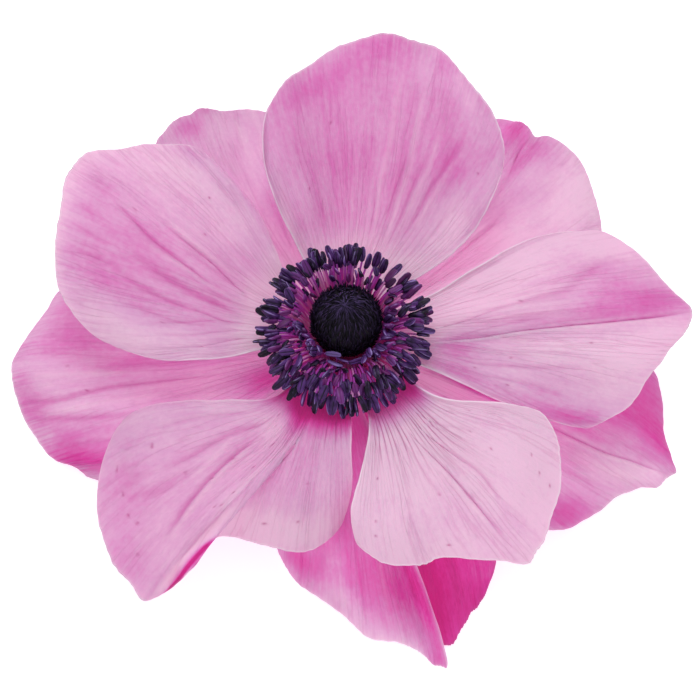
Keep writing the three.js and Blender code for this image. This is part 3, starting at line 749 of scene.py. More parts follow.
def alongStations(values, s):
    # a smooth value along evenly spaced stations
    knots = padded(np.asarray(values, float))
    place = np.clip(s, 0, 1) * (len(values) - 1)
    first = np.minimum(place.astype(int), len(values) - 2)
    before, start, end, after = (knots[first + k] for k in range(4))
    return hermite(start, end, (end - before) / 2, (after - start) / 2, place - first)


def splineThrough(knots, place):
    # a centripetal spline; place counts the knots from 0
    ring = padded(np.asarray(knots, float))
    first = np.minimum(np.asarray(place).astype(int), len(knots) - 2)
    before, start, end, after = (ring[first + k] for k in range(4))
    pairs = ((before, start), (start, end), (end, after))
    lead, span, trail = (np.sqrt(np.linalg.norm(b - a, axis=-1, keepdims=True)) for a, b in pairs)
    startSlope = (start - before) / lead - (end - before) / (lead + span) + (end - start) / span
    endSlope = (end - start) / span - (after - start) / (span + trail) + (after - end) / trail
    share = (place - first)[..., None]
    return hermite(start, end, startSlope * span, endSlope * span, share)


def planOf(seen, height):
    # the plan position of a point that looks to be at (right, up) and has the given height
    right, up = seen
    sin = math.sin(camera["elevation"])
    cos = math.cos(camera["elevation"])
    nearer = (height - up * cos) / (sin - up * cos / camera["distance"])
    shrink = 1 - nearer / camera["distance"]
    return np.array([right * shrink, up * shrink * sin - nearer * cos])


def bladeHeight(tepal, s, t):
    # height over the tepals' roots, s from root to tip and t clockwise across the blade
    s = np.asarray(s, float)
    t = np.asarray(t, float)
    side = np.where(t < 0.5, tepal["edges"][0], tepal["edges"][1])
    height = alongStations(tepal["rise"], s) + side * (2 * t - 1) ** 2 * s * s
    if "fold" in tepal:
        away = np.hypot(t - tepal["fold"]["at"], blade["foldRoundness"]) - blade["foldRoundness"]
        folded = softStep(s, blade["plainRoot"], blade["foldFull"])
        height += 2 * tepal["fold"]["height"] * away * folded
    for at, halfWidth, begins, amount in tepal["waves"]:
        height += amount * hill(t - at, halfWidth) * softStep(s, begins, 1)
    pleats = tepal["pleats"]
    ribs = np.cos(2 * math.pi * pleats["count"] * t + pleats["shift"])
    return height + pleats["height"] * ribs * softStep(s, blade["plainRoot"], blade["pleatsFull"])


def bladePoints(tepal, s, t):
    # points of the blade's middle surface: a Coons patch inside the margin's spline
    azimuth, halfArc = tepal["root"]
    sideA, far, sideB = tepal["sideA"], tepal["far"], tepal["sideB"]

    def rootAt(share):
        angle = np.radians(azimuth + halfArc * (1 - 2 * np.asarray(share)))
        return blade["rootRadius"] * np.stack([np.cos(angle), np.sin(angle)], axis=-1)

    def onPlan(seen, along, across):
        return planOf(seen, float(bladeHeight(tepal, along, across)))

    knots = [rootAt(0.0)]
    knots += [onPlan(p, (i + 1) / (len(sideA) + 1), 0) for i, p in enumerate(sideA)]
    knots += [onPlan(p, 1, i / (len(far) - 1)) for i, p in enumerate(far)]
    knots += [onPlan(p, 1 - (i + 1) / (len(sideB) + 1), 1) for i, p in enumerate(sideB)]
    knots.append(rootAt(1.0))
    last = len(knots) - 1
    cornerA = len(sideA) + 1
    cornerB = cornerA + len(far) - 1
    alongA = splineThrough(knots, cornerA * s)
    alongB = splineThrough(knots, last + (cornerB - last) * s)
    across = splineThrough(knots, cornerA + (cornerB - cornerA) * t)
    u, v = s[..., None], t[..., None]
    places = np.array([0, last, cornerA, cornerB], float)
    corners = [splineThrough(knots, place) for place in places]
    plan = (1 - v) * alongA + v * alongB + (1 - u) * rootAt(t) + u * across
    plan -= (1 - u) * ((1 - v) * corners[0] + v * corners[1])
    plan -= u * ((1 - v) * corners[2] + v * corners[3])
    return np.concatenate([plan, bladeHeight(tepal, s, t)[..., None]], axis=-1)


relief = {
    "furrow": 0.45,  # depth of a furrow of strength 1
    # painted shade in the furrows and painted highlight on the pale ribs, added to the tone
    "furrowShadeTone": 0.35,
    "furrowStart": (-0.06, 0.1),  # over which a furrow fades in
    "furrowEnd": (-0.16, 0.02),
    "speck": (0.004, 0.006),  # half size of a dark dot, across and along
    "linesFirst": (-0.1, 0.05),  # over which the dark lines fade in, across the blade
    "linesLast": (-0.05, 0.1),
    "linesStart": (-0.06, 0.03),  # and along it
    "swell": 0.2,  # slow unevenness
    "swells": 9,
    "swellAcross": (0.5, 3.5),  # least and most waves across and along the blade
    "swellAlong": (0.4, 2.6),
    "swellBegins": (0.15, 0.6),  # over which it sets in, from the root
    "ruffle": 0.12,  # of the far margin, up and down
    "ruffleWaves": (3, 9, 5),  # least, most, how many are summed
    "ruffleBegins": 0.85,
    "crinkle": 0.1,  # of the far margin, in and out
    "crinkleWidth": 0.1,  # share of the blade over which the crinkle dies out
    "longCrinkles": (2, 9, 5),
    "shortCrinkles": (15, 40, 6),
    "shortShare": 0.4,
    "sideCrinkles": (2, 9, 6),
    "sideShare": 0.5,
    "sideBegins": (0.25, 0.5),
    "sideEnds": (0.9, 1),
    "combMargin": (0.6, 4.5),  # from the margin: where the fine streaks fade
}


def furrowField(tepal, s, t):
    # the tone that the furrows and pale ribs add
    field = np.zeros_like(s)
    for course, begins, ends, halfWidth, strength in tepal["furrows"]:
        line = alongStations(course, (s - begins) / (ends - begins))
        starting = fade(s, begins, relief["furrowStart"])
        length = starting * (1 - fade(s, ends, relief["furrowEnd"]))
        field += strength * length * hill(t - line, halfWidth)
    return field


def speckField(tepal, s, t):
    field = np.zeros_like(s)
    across, along = relief["speck"]
    for atT, atS in tepal["specks"]:
        field += np.exp(-(((t - atT) / across) ** 2) - ((s - atS) / along) ** 2)
    return np.minimum(field, 1)


def patchField(everywhere, patches, s, t):
    field = np.full_like(s, everywhere)
    for across, along, halfAcross, halfAlong, strength in patches:
        off = ((t - across) / halfAcross) ** 2 + ((s - along) / halfAlong) ** 2
        field += strength * np.exp(-off)
    return field


def lineField(tepal, s, t):
    acrossFrom, acrossTo, alongFrom, alongTo, strength = tepal["lines"]
    starting = fade(t, acrossFrom, relief["linesFirst"])
    sides = starting * (1 - fade(t, acrossTo, relief["linesLast"]))
    ending = 1 - softStep(s, alongFrom, alongTo)
    return strength * sides * fade(s, alongFrom, relief["linesStart"]) * ending


def sumOfWaves(random, place, least, most, count):
    # a smooth random run along one direction, about -1 to 1
    run = np.zeros_like(place)
    for _ in range(count):
        run += np.sin(2 * math.pi * (random.uniform(least, most) * place + random.uniform(0, 1)))
    return run / math.sqrt(count)


def fineRelief(tepal, s, t, random):
    # what the blade's height has beyond its main form, in millimetres
    swell = np.zeros_like(s)
    for _ in range(relief["swells"]):
        across = random.uniform(*relief["swellAcross"])
        along = random.uniform(*relief["swellAlong"])
        lean = along * random.choice([-1, 1])
        swell += np.sin(2 * math.pi * (across * t + lean * s + random.uniform(0, 1)))
    swell = relief["swell"] * swell / math.sqrt(relief["swells"])
    ruffle = relief["ruffle"] * sumOfWaves(random, t, *relief["ruffleWaves"])
    return (
        swell * softStep(s, *relief["swellBegins"])
        - relief["furrow"] * furrowField(tepal, s, t)
        + ruffle * softStep(s, relief["ruffleBegins"], 1)
    )


def crinkled(points, s, t, random):
    # shifts the margins in and out in the blade's plane
    outward = unit(np.gradient(points, axis=0))
    sideways = unit(np.gradient(points, axis=1))
    width = relief["crinkleWidth"]
    far = sumOfWaves(random, t, *relief["longCrinkles"])
    far += relief["shortShare"] * sumOfWaves(random, t, *relief["shortCrinkles"])
    far *= softStep(s, 1 - width, 1)
    mid = softStep(s, *relief["sideBegins"]) * (1 - softStep(s, *relief["sideEnds"]))
    mid *= relief["sideShare"]
    sideA = (1 - softStep(t, 0, width)) * mid * sumOfWaves(random, s, *relief["sideCrinkles"])
    sideB = softStep(t, 1 - width, 1) * mid * sumOfWaves(random, s, *relief["sideCrinkles"])
    shift = outward * far[..., None] + sideways * (sideB - sideA)[..., None]
    return points + relief["crinkle"] * shift


def bladeStations():
    # s and t of every point of the blade's grid
    even = np.linspace(0, 1, blade["rows"] + 1)
    closer = blade["closerTip"]
    s = (1 - closer) * even + closer * np.sin(math.pi / 2 * even)
    even = np.linspace(0, 1, blade["columns"] + 1)
    closer = blade["closerSides"]
    t = (1 - closer) * even + closer / 2 * (1 - np.cos(math.pi * even))
    return np.meshgrid(s, t, indexing="ij")


def marginDistance(middle):
    # how far each point is from the tip or the nearer side, along the grid's lines
    rows, columns = middle.shape[:2]
    stepAlong = np.linalg.norm(np.diff(middle, axis=0), axis=-1)
    stepAcross = np.linalg.norm(np.diff(middle, axis=1), axis=-1)
    toTip = np.vstack([stepAlong[::-1].cumsum(axis=0)[::-1], np.zeros((1, columns))])
    zeros = np.zeros((rows, 1))
    fromA = np.hstack([zeros, stepAcross.cumsum(axis=1)])
    fromB = np.hstack([stepAcross[:, ::-1].cumsum(axis=1)[:, ::-1], zeros])
    return np.minimum(toTip, np.minimum(fromA, fromB))


def halfThickness(margin, s):
    inner = np.clip(margin / blade["roundedRim"], 0, 1)
    body = blade["thickness"] + (blade["rootThickness"] - blade["thickness"]) * (1 - s) ** 3
    half = 0.5 * body * np.sqrt(1 - (1 - inner) ** 2)
    half[0] = half[-1] = half[:, 0] = half[:, -1] = 0
    return half


def veinMap(tepal, middle, t):
    # across and along the fan of veins
    x, y = middle[..., 0], middle[..., 1]
    azimuth = math.radians(tepal["root"][0])
    out = x * math.cos(azimuth) + y * math.sin(azimuth) - blade["fanCentre"]
    aside = x * math.sin(azimuth) - y * math.cos(azimuth)
    straight = alongStations(tepal["fan"], t)
    across = straight * (0.5 + np.arctan2(aside, out) / blade["fanSpan"]) + (1 - straight) * t
    return across, np.hypot(out, aside) / blade["fanReach"]


def petalFields(tepal, middle, margin, s, t):
    # what the shader reads at each point
    furrows = furrowField(tepal, s, t)
    fromAxis = np.hypot(middle[..., 0], middle[..., 1])
    # painted shade where the stamen ring shades the root, painted light where glow is below 0
    glow = tepal["glow"] * (1 - softStep(fromAxis, *blade["glowRadii"]))
    tone = patchField(tepal["tone"], tepal["patches"], s, t)
    return {
        "margin": margin,
        "tone": tone + relief["furrowShadeTone"] * furrows + glow,
        "comb": tepal["comb"] * (1 - softStep(margin, *relief["combMargin"])),
        "lines": lineField(tepal, s, t),
        # painted light and shade, by which the colour is multiplied
        "light": patchField(tepal["light"], tepal["lights"], s, t),
        "furrow": furrows,
        "speck": speckField(tepal, s, t),
    }


def bladeMesh(name, tepal, seed):
    random = np.random.default_rng(seed)
    s, t = bladeStations()
    middle = bladePoints(tepal, s, t)
    middle[..., 2] += fineRelief(tepal, s, t, random)
    middle = crinkled(middle, s, t, random)
    normals = unit(np.cross(np.gradient(middle, axis=1), np.gradient(middle, axis=0)))
    margin = marginDistance(middle)
    half = halfThickness(margin, s)
    upper = middle + normals * half[..., None]
    lower = middle - normals * half[..., None]

    # both faces share the points round the margin
    inside = (slice(1, -1), slice(1, -1))
    number = np.arange(s.size).reshape(s.shape)
    under = number.copy()
    under[inside] = s.size + np.arange(s[inside].size).reshape(s[inside].shape)

    def quads(grid):
        corners = [grid[:-1, :-1], grid[:-1, 1:], grid[1:, 1:], grid[1:, :-1]]
        return np.stack([corner.ravel() for corner in corners], axis=1)

    def both(grid):
        return np.concatenate([grid.ravel(), grid[inside].ravel()])

    points = np.vstack([upper.reshape(-1, 3), lower[inside].reshape(-1, 3)])
    faces = np.vstack([quads(number), quads(under)[:, ::-1]])
    mesh = bpy.data.meshes.new(name)
    mesh.from_pydata(placed(points).tolist(), [], faces.tolist())
    loopVertex = np.zeros(len(mesh.loops), dtype=int)
    mesh.loops.foreach_get("vertex_index", loopVertex)
    uv = np.stack([both(grid)[loopVertex] for grid in veinMap(tepal, middle, t)], axis=1)
    mesh.uv_layers.new(name="petalMap").data.foreach_set("uv", uv.ravel())
    fields = petalFields(tepal, middle, margin, s, t)
    attributes = {key: both(grid) for key, grid in fields.items()}
    attributes["number"] = np.full(len(points), float(seed))
    upperFace = np.where(half > 0, 1.0, 0.5)
    attributes["upperFace"] = np.concatenate([upperFace.ravel(), np.zeros(s[inside].size)])
    for key, values in attributes.items():
        mesh.attributes.new(key, "FLOAT", "POINT").data.foreach_set("value", values)
    smoothFaces(mesh)
    return mesh


petal = {
    # from the palest pink to the hottest
    "tones": (
        (0.0, linear(237, 234, 247)),
        (0.28, linear(217, 197, 228)),
        (0.52, linear(207, 145, 202)),
        (0.8, linear(205, 68, 162)),
        (1.0, linear(176, 24, 112)),
    ),
    "toneSpan": 0.8,  # where on the ramp the tone 1 is
    # painted light: each whorl's copy of one skin is multiplied by these
    "inner": (0.965, 0.985, 0.99),
    "outer": (0.955, 1.06, 1.02),  # makes up for the shade that they lie in
    "line": linear(150, 70, 135),
    # painted shade in the furrows, a greyish mauve that the veins share
    "furrow": linear(160, 96, 150),
    "speck": linear(128, 52, 110),
    # painted highlight: the pale colour of light catching the margins
    "rim": linear(252, 232, 244),
    "under": linear(236, 150, 204),
    "through": linear(250, 146, 214),
    # noises drawn out along the veins: counts across and along, detail, offset
    "streaks": {
        "broad": (9.0, 1.3, 2.0, 1.0),
        "middle": (34.0, 2.2, 2.0, 2.0),
        "fine": (120.0, 5.0, 2.0, 3.0),
        "comb": (150.0, 2.0, 1.0, 4.0),
        "wander": (5.0, 2.0, 1.0, 5.0),
        "crepe": (70.0, 30.0, 2.0, 6.0),
        "contours": (44.0, 2.6, 1.0, 7.0),
        "breaks": (26.0, 1.5, 1.0, 9.0),
    },
    "clouds": {"mottle": (220.0, 3.0), "cells": (2600.0, 2.0)},  # scale and detail
    # how much of each the tone has
    "shading": {
        "broad": 0.26, "middle": 0.3, "fine": 0.24, "mottle": 0.3, "comb": 0.7, "crepe": 0.3,
        "cells": 0.14,
    },
    # and the height
    "swelling": {
        "fine": 0.7, "middle": 1.0, "comb": 1.0, "lines": -1.0, "veins": -0.4, "crepe": 0.9,
        "mottle": 0.5, "cells": 0.25,
    },
    "bump": (0.7, 0.16),  # strength and height
    "apart": 10.0,  # how far one petal's noises are from the next one's
    # thin veins that join and part
    "veinWidth": 0.05,
    "veinBegins": (0.15, 0.4),
    "veinBands": (0.35, 0.6),
    "veinStrength": 0.16,
    # fine dark lines that fan out from the root
    "lineCount": 30,
    "lineWander": 0.05,
    "lineWidth": (0.78, 1.0),
    "lineBreaks": (0.3, 0.55),
    "lineStrength": 0.85,
    "furrowShadeStrength": 0.7,
    "speckStrength": 0.85,
    # painted highlight along the margins
    "rimHighlights": ((0.05, 1.0, 0.18), (0.1, 0.4, 0.36)),  # paler to this far in, and how much
    "rimHot": (0.5, 1.1, 0.85),  # tones between which it loses this share
    "rimBegins": (0.15, 0.55),  # along the blade
    "rimFurrow": 0.5,  # what a furrow takes from it
    "underStrength": 0.7,
    "roughness": (0.5, 0.2),  # least, and what the fine streaks add
    "translucency": 0.42,
    "translucentFrom": (-0.2, 0.4),  # from the margin
}


def petalSkin(name, brightness):
    material, g = newMaterial(name, petal["tones"][1][1])
    uv = g.node("ShaderNodeUVMap", {"uv_map": "petalMap"})
    t, s = g.part(uv, "X"), g.part(uv, "Y")
    place = g.node("ShaderNodeTexCoord", None, None, "Object")
    number, margin, tone = g.attribute("number"), g.attribute("margin"), g.attribute("tone")
    furrow, speck = g.attribute("furrow"), g.attribute("speck")

    def streaks(acrossCount, alongCount, detail, offset):
        grain = g.vector(t * acrossCount, s * alongCount, number * petal["apart"] + offset)
        return g.noise(grain, 1.0, detail)

    noises = {key: streaks(*settings) for key, settings in petal["streaks"].items()}
    noises.update({key: g.noise(place, *settings) for key, settings in petal["clouds"].items()})
    rimStreaks = g.attribute("comb")

    def centred(key):
        value = noises[key] - 0.5
        return value * rimStreaks if key == "comb" else value

    def over(colour, strength, key):
        return g.mix(strength, colour, petal[key])

    depth = tone
    for key, amount in petal["shading"].items():
        depth = depth + centred(key) * amount
    ramp = {"stops": petal["tones"]}
    colour = g.node("ShaderNodeValToRGB", ramp, {"Fac": g.clamp(depth * petal["toneSpan"])})

    # contours of a drawn-out noise make the veins
    veins = 1 - g.step(g.math("ABSOLUTE", centred("contours")), 0.0, petal["veinWidth"])
    veins = veins * g.step(s, *petal["veinBegins"]) * g.step(noises["broad"], *petal["veinBands"])
    turn = (t + centred("wander") * petal["lineWander"]) * (2 * math.pi * petal["lineCount"])
    lines = g.step(g.math("SINE", turn) * 0.5 + 0.5, *petal["lineWidth"])
    lines = lines * g.step(noises["breaks"], *petal["lineBreaks"]) * g.attribute("lines")
    colour = over(colour, g.clamp(lines * petal["lineStrength"]), "line")
    # painted shade: furrows darken towards the furrow colour, and the veins take the same colour
    furrowed = furrow * petal["furrowShadeStrength"] + veins * petal["veinStrength"]
    colour = over(colour, g.clamp(furrowed), "furrow")
    colour = over(colour, speck * petal["speckStrength"], "speck")

    # painted highlight along the margins, weaker on hot tones, near the root and on furrows
    rim = 0.0
    for low, high, strength in petal["rimHighlights"]:
        rim = rim + (1 - g.step(margin, low, high)) * strength
    hotFrom, hotTo, loss = petal["rimHot"]
    rim = rim * (1 - g.step(tone, hotFrom, hotTo) * loss) * g.step(s, *petal["rimBegins"])
    colour = over(colour, g.clamp(rim - furrow * petal["rimFurrow"]), "rim")
    colour = over(colour, (1 - g.attribute("upperFace")) * petal["underStrength"], "under")
    # painted light and shade: the whorl's brightness and the blade's light field multiply the colour
    colour = g.vectorMath("MULTIPLY", colour, brightness)
    colour = g.vectorMath("MULTIPLY", colour, g.attribute("light"))

    parts = {**noises, "comb": noises["comb"] * rimStreaks, "lines": lines, "veins": veins}
    height = 0.0
    for key, amount in petal["swelling"].items():
        height = height + parts[key] * amount
    plain, uneven = petal["roughness"]
    skin = g.node("ShaderNodeBsdfPrincipled", None, {
        "Base Color": colour,
        "Roughness": plain + noises["fine"] * uneven,
        "Specular IOR Level": 0.25,
        "Sheen Weight": 0.08,
        "Sheen Roughness": 0.4,
        "Normal": g.bump(height, *petal["bump"]),
    })
    through = g.node("ShaderNodeBsdfTranslucent", None, {"Color": petal["through"]})
    share = g.step(margin, *petal["translucentFrom"]) * petal["translucency"]
    g.finish(g.node("ShaderNodeMixShader", None, {0: share, 1: skin, 2: through}))
    return material


openPieces = bpy.data.collections.new("openPieces")
# two copies of one skin; the outer one is painted brighter to make up for its shade
petalSkins = {
    "inner": petalSkin("innerPetal", petal["inner"]),
    "outer": petalSkin("outerPetal", petal["outer"]),
}
for number, (name, tepal) in enumerate(tepals.items()):
    whorl = "inner" if "inner" in name else "outer"
    pieceName = name.replace("tepal_", "petal_")
    piece = linkObject(pieceName, bladeMesh(pieceName, tepal, number + 1))
    piece.data.materials.append(petalSkins[whorl])
    openPieces.objects.link(piece)
    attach(piece, "root")
    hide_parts(name)
    whorl + "_tepals"
print("tepals:", len(tepals))


goldenAngle = math.pi * (3 - math.sqrt(5))  # between one seat of a sunflower spiral and the next


def grown(name, tree, values):
    # a plain mesh object of what the tree makes with these inputs
    source = linkObject(name + "Source", bpy.data.meshes.new(name + "Source"))
    modifier = source.modifiers.new("Growth", "NODES")
    modifier.node_group = tree
    for item in tree.interface.items_tree:
        if item.item_type == "SOCKET" and item.in_out == "INPUT" and item.name in values:
            modifier[item.identifier] = values[item.name]
    view = source.evaluated_get(bpy.context.evaluated_depsgraph_get())
    mesh = bpy.data.meshes.new_from_object(view)
    bpy.data.objects.remove(source)
    mesh.name = name
    return linkObject(name, mesh)


def lathedMesh(name, profile, segments, shaped):
    # a closed solid from (radius, height) pairs that start and end on the axis
    points = [(0, 0, profile[0][1])]
    for radius, height in profile[1:-1]:
        for k in range(segments):
            angle = 2 * math.pi * k / segments
            wide = radius * shaped(angle, height)
            points.append((wide * math.cos(angle), wide * math.sin(angle), height))
    points.append((0, 0, profile[-1][1]))
    faces = []
    last = len(points) - 1
    rings = len(profile) - 2
    for k in range(segments):
        following = (k + 1) % segments
        faces.append((0, 1 + following, 1 + k))
        for ring in range(rings - 1):
            low = 1 + ring * segments
            high = low + segments
            faces.append((low + k, low + following, high + following, high + k))
        top = 1 + (rings - 1) * segments
        faces.append((top + k, top + following, last))
    mesh = bpy.data.meshes.new(name)
    mesh.from_pydata(placed(points).tolist(), [], faces)
    smoothFaces(mesh)
    return mesh


# Stamens: whorls of filaments, each tipped with a two-lobed anther.
anther = {
    "around": 12,
    # painted light and shade: edges palest with pollen and painted highlight, crests with painted
    # highlight, groove painted shade
    "pallor": (1.0, 0.35, 0.6, 0.0),  # of the edge, the flank, the crest and the groove
    # painted shade: the foot of each anther is darker
    "footPallor": 0.4,  # share of it that the foot has
    "pallorRise": 1.8,  # how fast it grows up the anther
    "stations": ((0.0, 0.3), (0.1, 0.8), (0.4, 1.0), (0.75, 0.92), (0.95, 0.62), (1.0, 0.2)),
    "lobeRadius": 0.26,
    "lobeOffset": 0.24,  # of each lobe's middle from the anther's
    "bend": 0.13,  # to one side, halfway up
}


def ringFaces(around, rings):
    # the faces of a closed tube of vertex rings
    faces = [tuple(range(around))[::-1]]
    for ring in range(rings - 1):
        for k in range(around):
            low, following = ring * around, (k + 1) % around
            high = low + around
            faces.append((low + k, low + following, high + following, high + k))
    faces.append(tuple(range((rings - 1) * around, rings * around)))
    return faces


def templateObject(name, points, faces, edge):
    # a shape to repeat; its "edge" attribute says where it is palest
    mesh = bpy.data.meshes.new(name)
    mesh.from_pydata(points, [], faces)
    mesh.attributes.new("edge", "FLOAT", "POINT").data.foreach_set("value", edge)
    smoothFaces(mesh)
    return linkObject(name, mesh)


def antherTemplate():
    # two lobes side by side, 1 long and 1 wide together, from the origin up +Z
    offset, around = anther["lobeOffset"], anther["around"]
    quarter = around // 4
    points, edge = [], []
    for height, size in anther["stations"]:
        bent = anther["bend"] * math.sin(math.pi * height)
        rise = min(1.0, anther["pallorRise"] * height)
        share = anther["footPallor"] + (1 - anther["footPallor"]) * rise
        for k in range(around):
            angle = 2 * math.pi * k / around
            off = offset * math.sin(angle)
            lobe = math.sqrt(anther["lobeRadius"] ** 2 - off ** 2)
            radius = size * (offset * abs(math.cos(angle)) + lobe)
            points.append((radius * math.cos(angle), radius * math.sin(angle) + bent, height))
            edge.append(anther["pallor"][quarter - abs(quarter - k % (2 * quarter))] * share)
    return templateObject("antherTemplate", points, ringFaces(around, len(anther["stations"])), edge)


antherLook = {
    "dark": linear(22, 9, 34),
    "violet": linear(90, 48, 122),
    # pollen and painted highlight along the lobes' edges
    "edge": linear(172, 146, 216),
    "young": linear(136, 120, 184),
    "blush": linear(150, 52, 146),
    "cells": (3600.0, 3.0),  # scale and detail
    "patches": (1300.0, 2.0),
    "violetShare": 0.9,
    "patchShare": 1.6,
    "flank": (0.05, 0.4),  # pallor over which the violet comes in
    "blushShare": 0.8,
    "edgeFrom": (0.62, 0.92),
    "edgePatches": (0.3, 0.52),
    "edgeShare": (0.6, 0.35),  # by shade, and always
    "youngFrom": (1.1, 1.9),
    "youngShare": 0.6,
    "bump": (0.6, 0.08),  # strength and height
}


def antherSkin():
    material, g = newMaterial("antherViolet", antherLook["dark"])
    place = g.node("ShaderNodeTexCoord", None, None, "Object")
    shade, edge, blush = g.attribute("shade"), g.attribute("edge"), g.attribute("blush")
    cells = g.noise(place, *antherLook["cells"])
    patches = g.noise(place, *antherLook["patches"])
    depth = shade * antherLook["violetShare"] + (patches - 0.5) * antherLook["patchShare"]
    # painted shade: where the pallor is low, in the groove and at the foot, the anther stays dark
    depth = g.clamp(depth * g.step(edge, *antherLook["flank"]))
    colour = g.mix(depth, antherLook["dark"], antherLook["violet"])
    colour = g.mix(g.clamp(blush) * antherLook["blushShare"], colour, antherLook["blush"])
    shaded, always = antherLook["edgeShare"]
    # pale lines along the edges: pollen and painted highlight
    line = g.step(edge, *antherLook["edgeFrom"]) * g.step(patches, *antherLook["edgePatches"])
    colour = g.mix(g.clamp(line * (shade * shaded + always)), colour, antherLook["edge"])
    young = g.step(shade, *antherLook["youngFrom"]) * antherLook["youngShare"]
    colour = g.mix(young, colour, antherLook["young"])
    g.finish(g.node("ShaderNodeBsdfPrincipled", None, {
        "Base Color": colour,
        "Roughness": 0.4 + (cells - 0.5) * 0.4,
        "Specular IOR Level": 0.28,
        "Normal": g.bump(cells, *antherLook["bump"]),
    }))
    return material


filamentLook = {
    "foot": linear(252, 190, 234),
    "middle": linear(244, 74, 194),
    "tip": linear(170, 78, 192),
    "through": linear(250, 124, 222),
    "middleAt": 0.45,
    "dark": (0.5, 0.15),  # how much of the tip's violet a shaded one has
    "pale": (0.35, 0.7),  # and the shade below which it has the foot's pink
    "translucency": 0.4,
}


def filamentSkin():
    material, g = newMaterial("filamentMagenta", filamentLook["middle"])
    along, shade = g.attribute("along"), g.attribute("shade")
    stops = [
        (0.0, filamentLook["foot"]),
        (filamentLook["middleAt"], filamentLook["middle"]),
        (1.0, filamentLook["tip"]),
    ]
    colour = g.node("ShaderNodeValToRGB", {"stops": stops}, {"Fac": along})
    growth, least = filamentLook["dark"]
    colour = g.mix(g.clamp(shade * growth - least), colour, filamentLook["tip"])
    below, strength = filamentLook["pale"]
    colour = g.mix(g.step(shade, below, 0.0) * strength, colour, filamentLook["foot"])
    skin = g.node("ShaderNodeBsdfPrincipled", None, {
        "Base Color": colour,
        "Roughness": 0.4,
        "Specular IOR Level": 0.5,
    })
    through = g.node("ShaderNodeBsdfTranslucent", None, {"Color": filamentLook["through"]})
    inputs = {0: filamentLook["translucency"], 1: skin, 2: through}
    g.finish(g.node("ShaderNodeMixShader", None, inputs))
    return material


# what all whorls share
stamen = {
    "jitter": 0.45,  # of each one's turn, in steps
    "bunches": 17.0,  # round the ring
    "bunchesFrom": 2.0,  # their shift round the ring
    "gapNarrowness": 20.0,  # of the gap that parting opens
    "heightScatter": 1.4,  # of the scatter in reach
    "slopeScatter": 0.55,  # in radians
    "footScatter": 0.35,
    "kneeOut": 0.42,  # share of the way out and of the way up
    "kneeUp": 0.72,
    "curvePoints": 7,
    "sides": 6,
    "footWidth": 1.15,  # of the filament's width
    "taper": 0.35,
    "size": (0.75, 1.2),  # least and most of an anther
}


def bentPath(g, share):
    # a filament's course from foot to neck, drawn towards its knee
    rest = 1 - share

    def pulled(name, weight):
        inputs = {"Vector": g.stored(name, "FLOAT_VECTOR"), "Scale": weight}
        return g.node("ShaderNodeVectorMath", {"operation": "SCALE"}, inputs)

    lower = g.vectorMath("ADD", pulled("foot", rest * rest), pulled("knee", 2 * rest * share))
    return g.vectorMath("ADD", lower, pulled("neck", share * share))


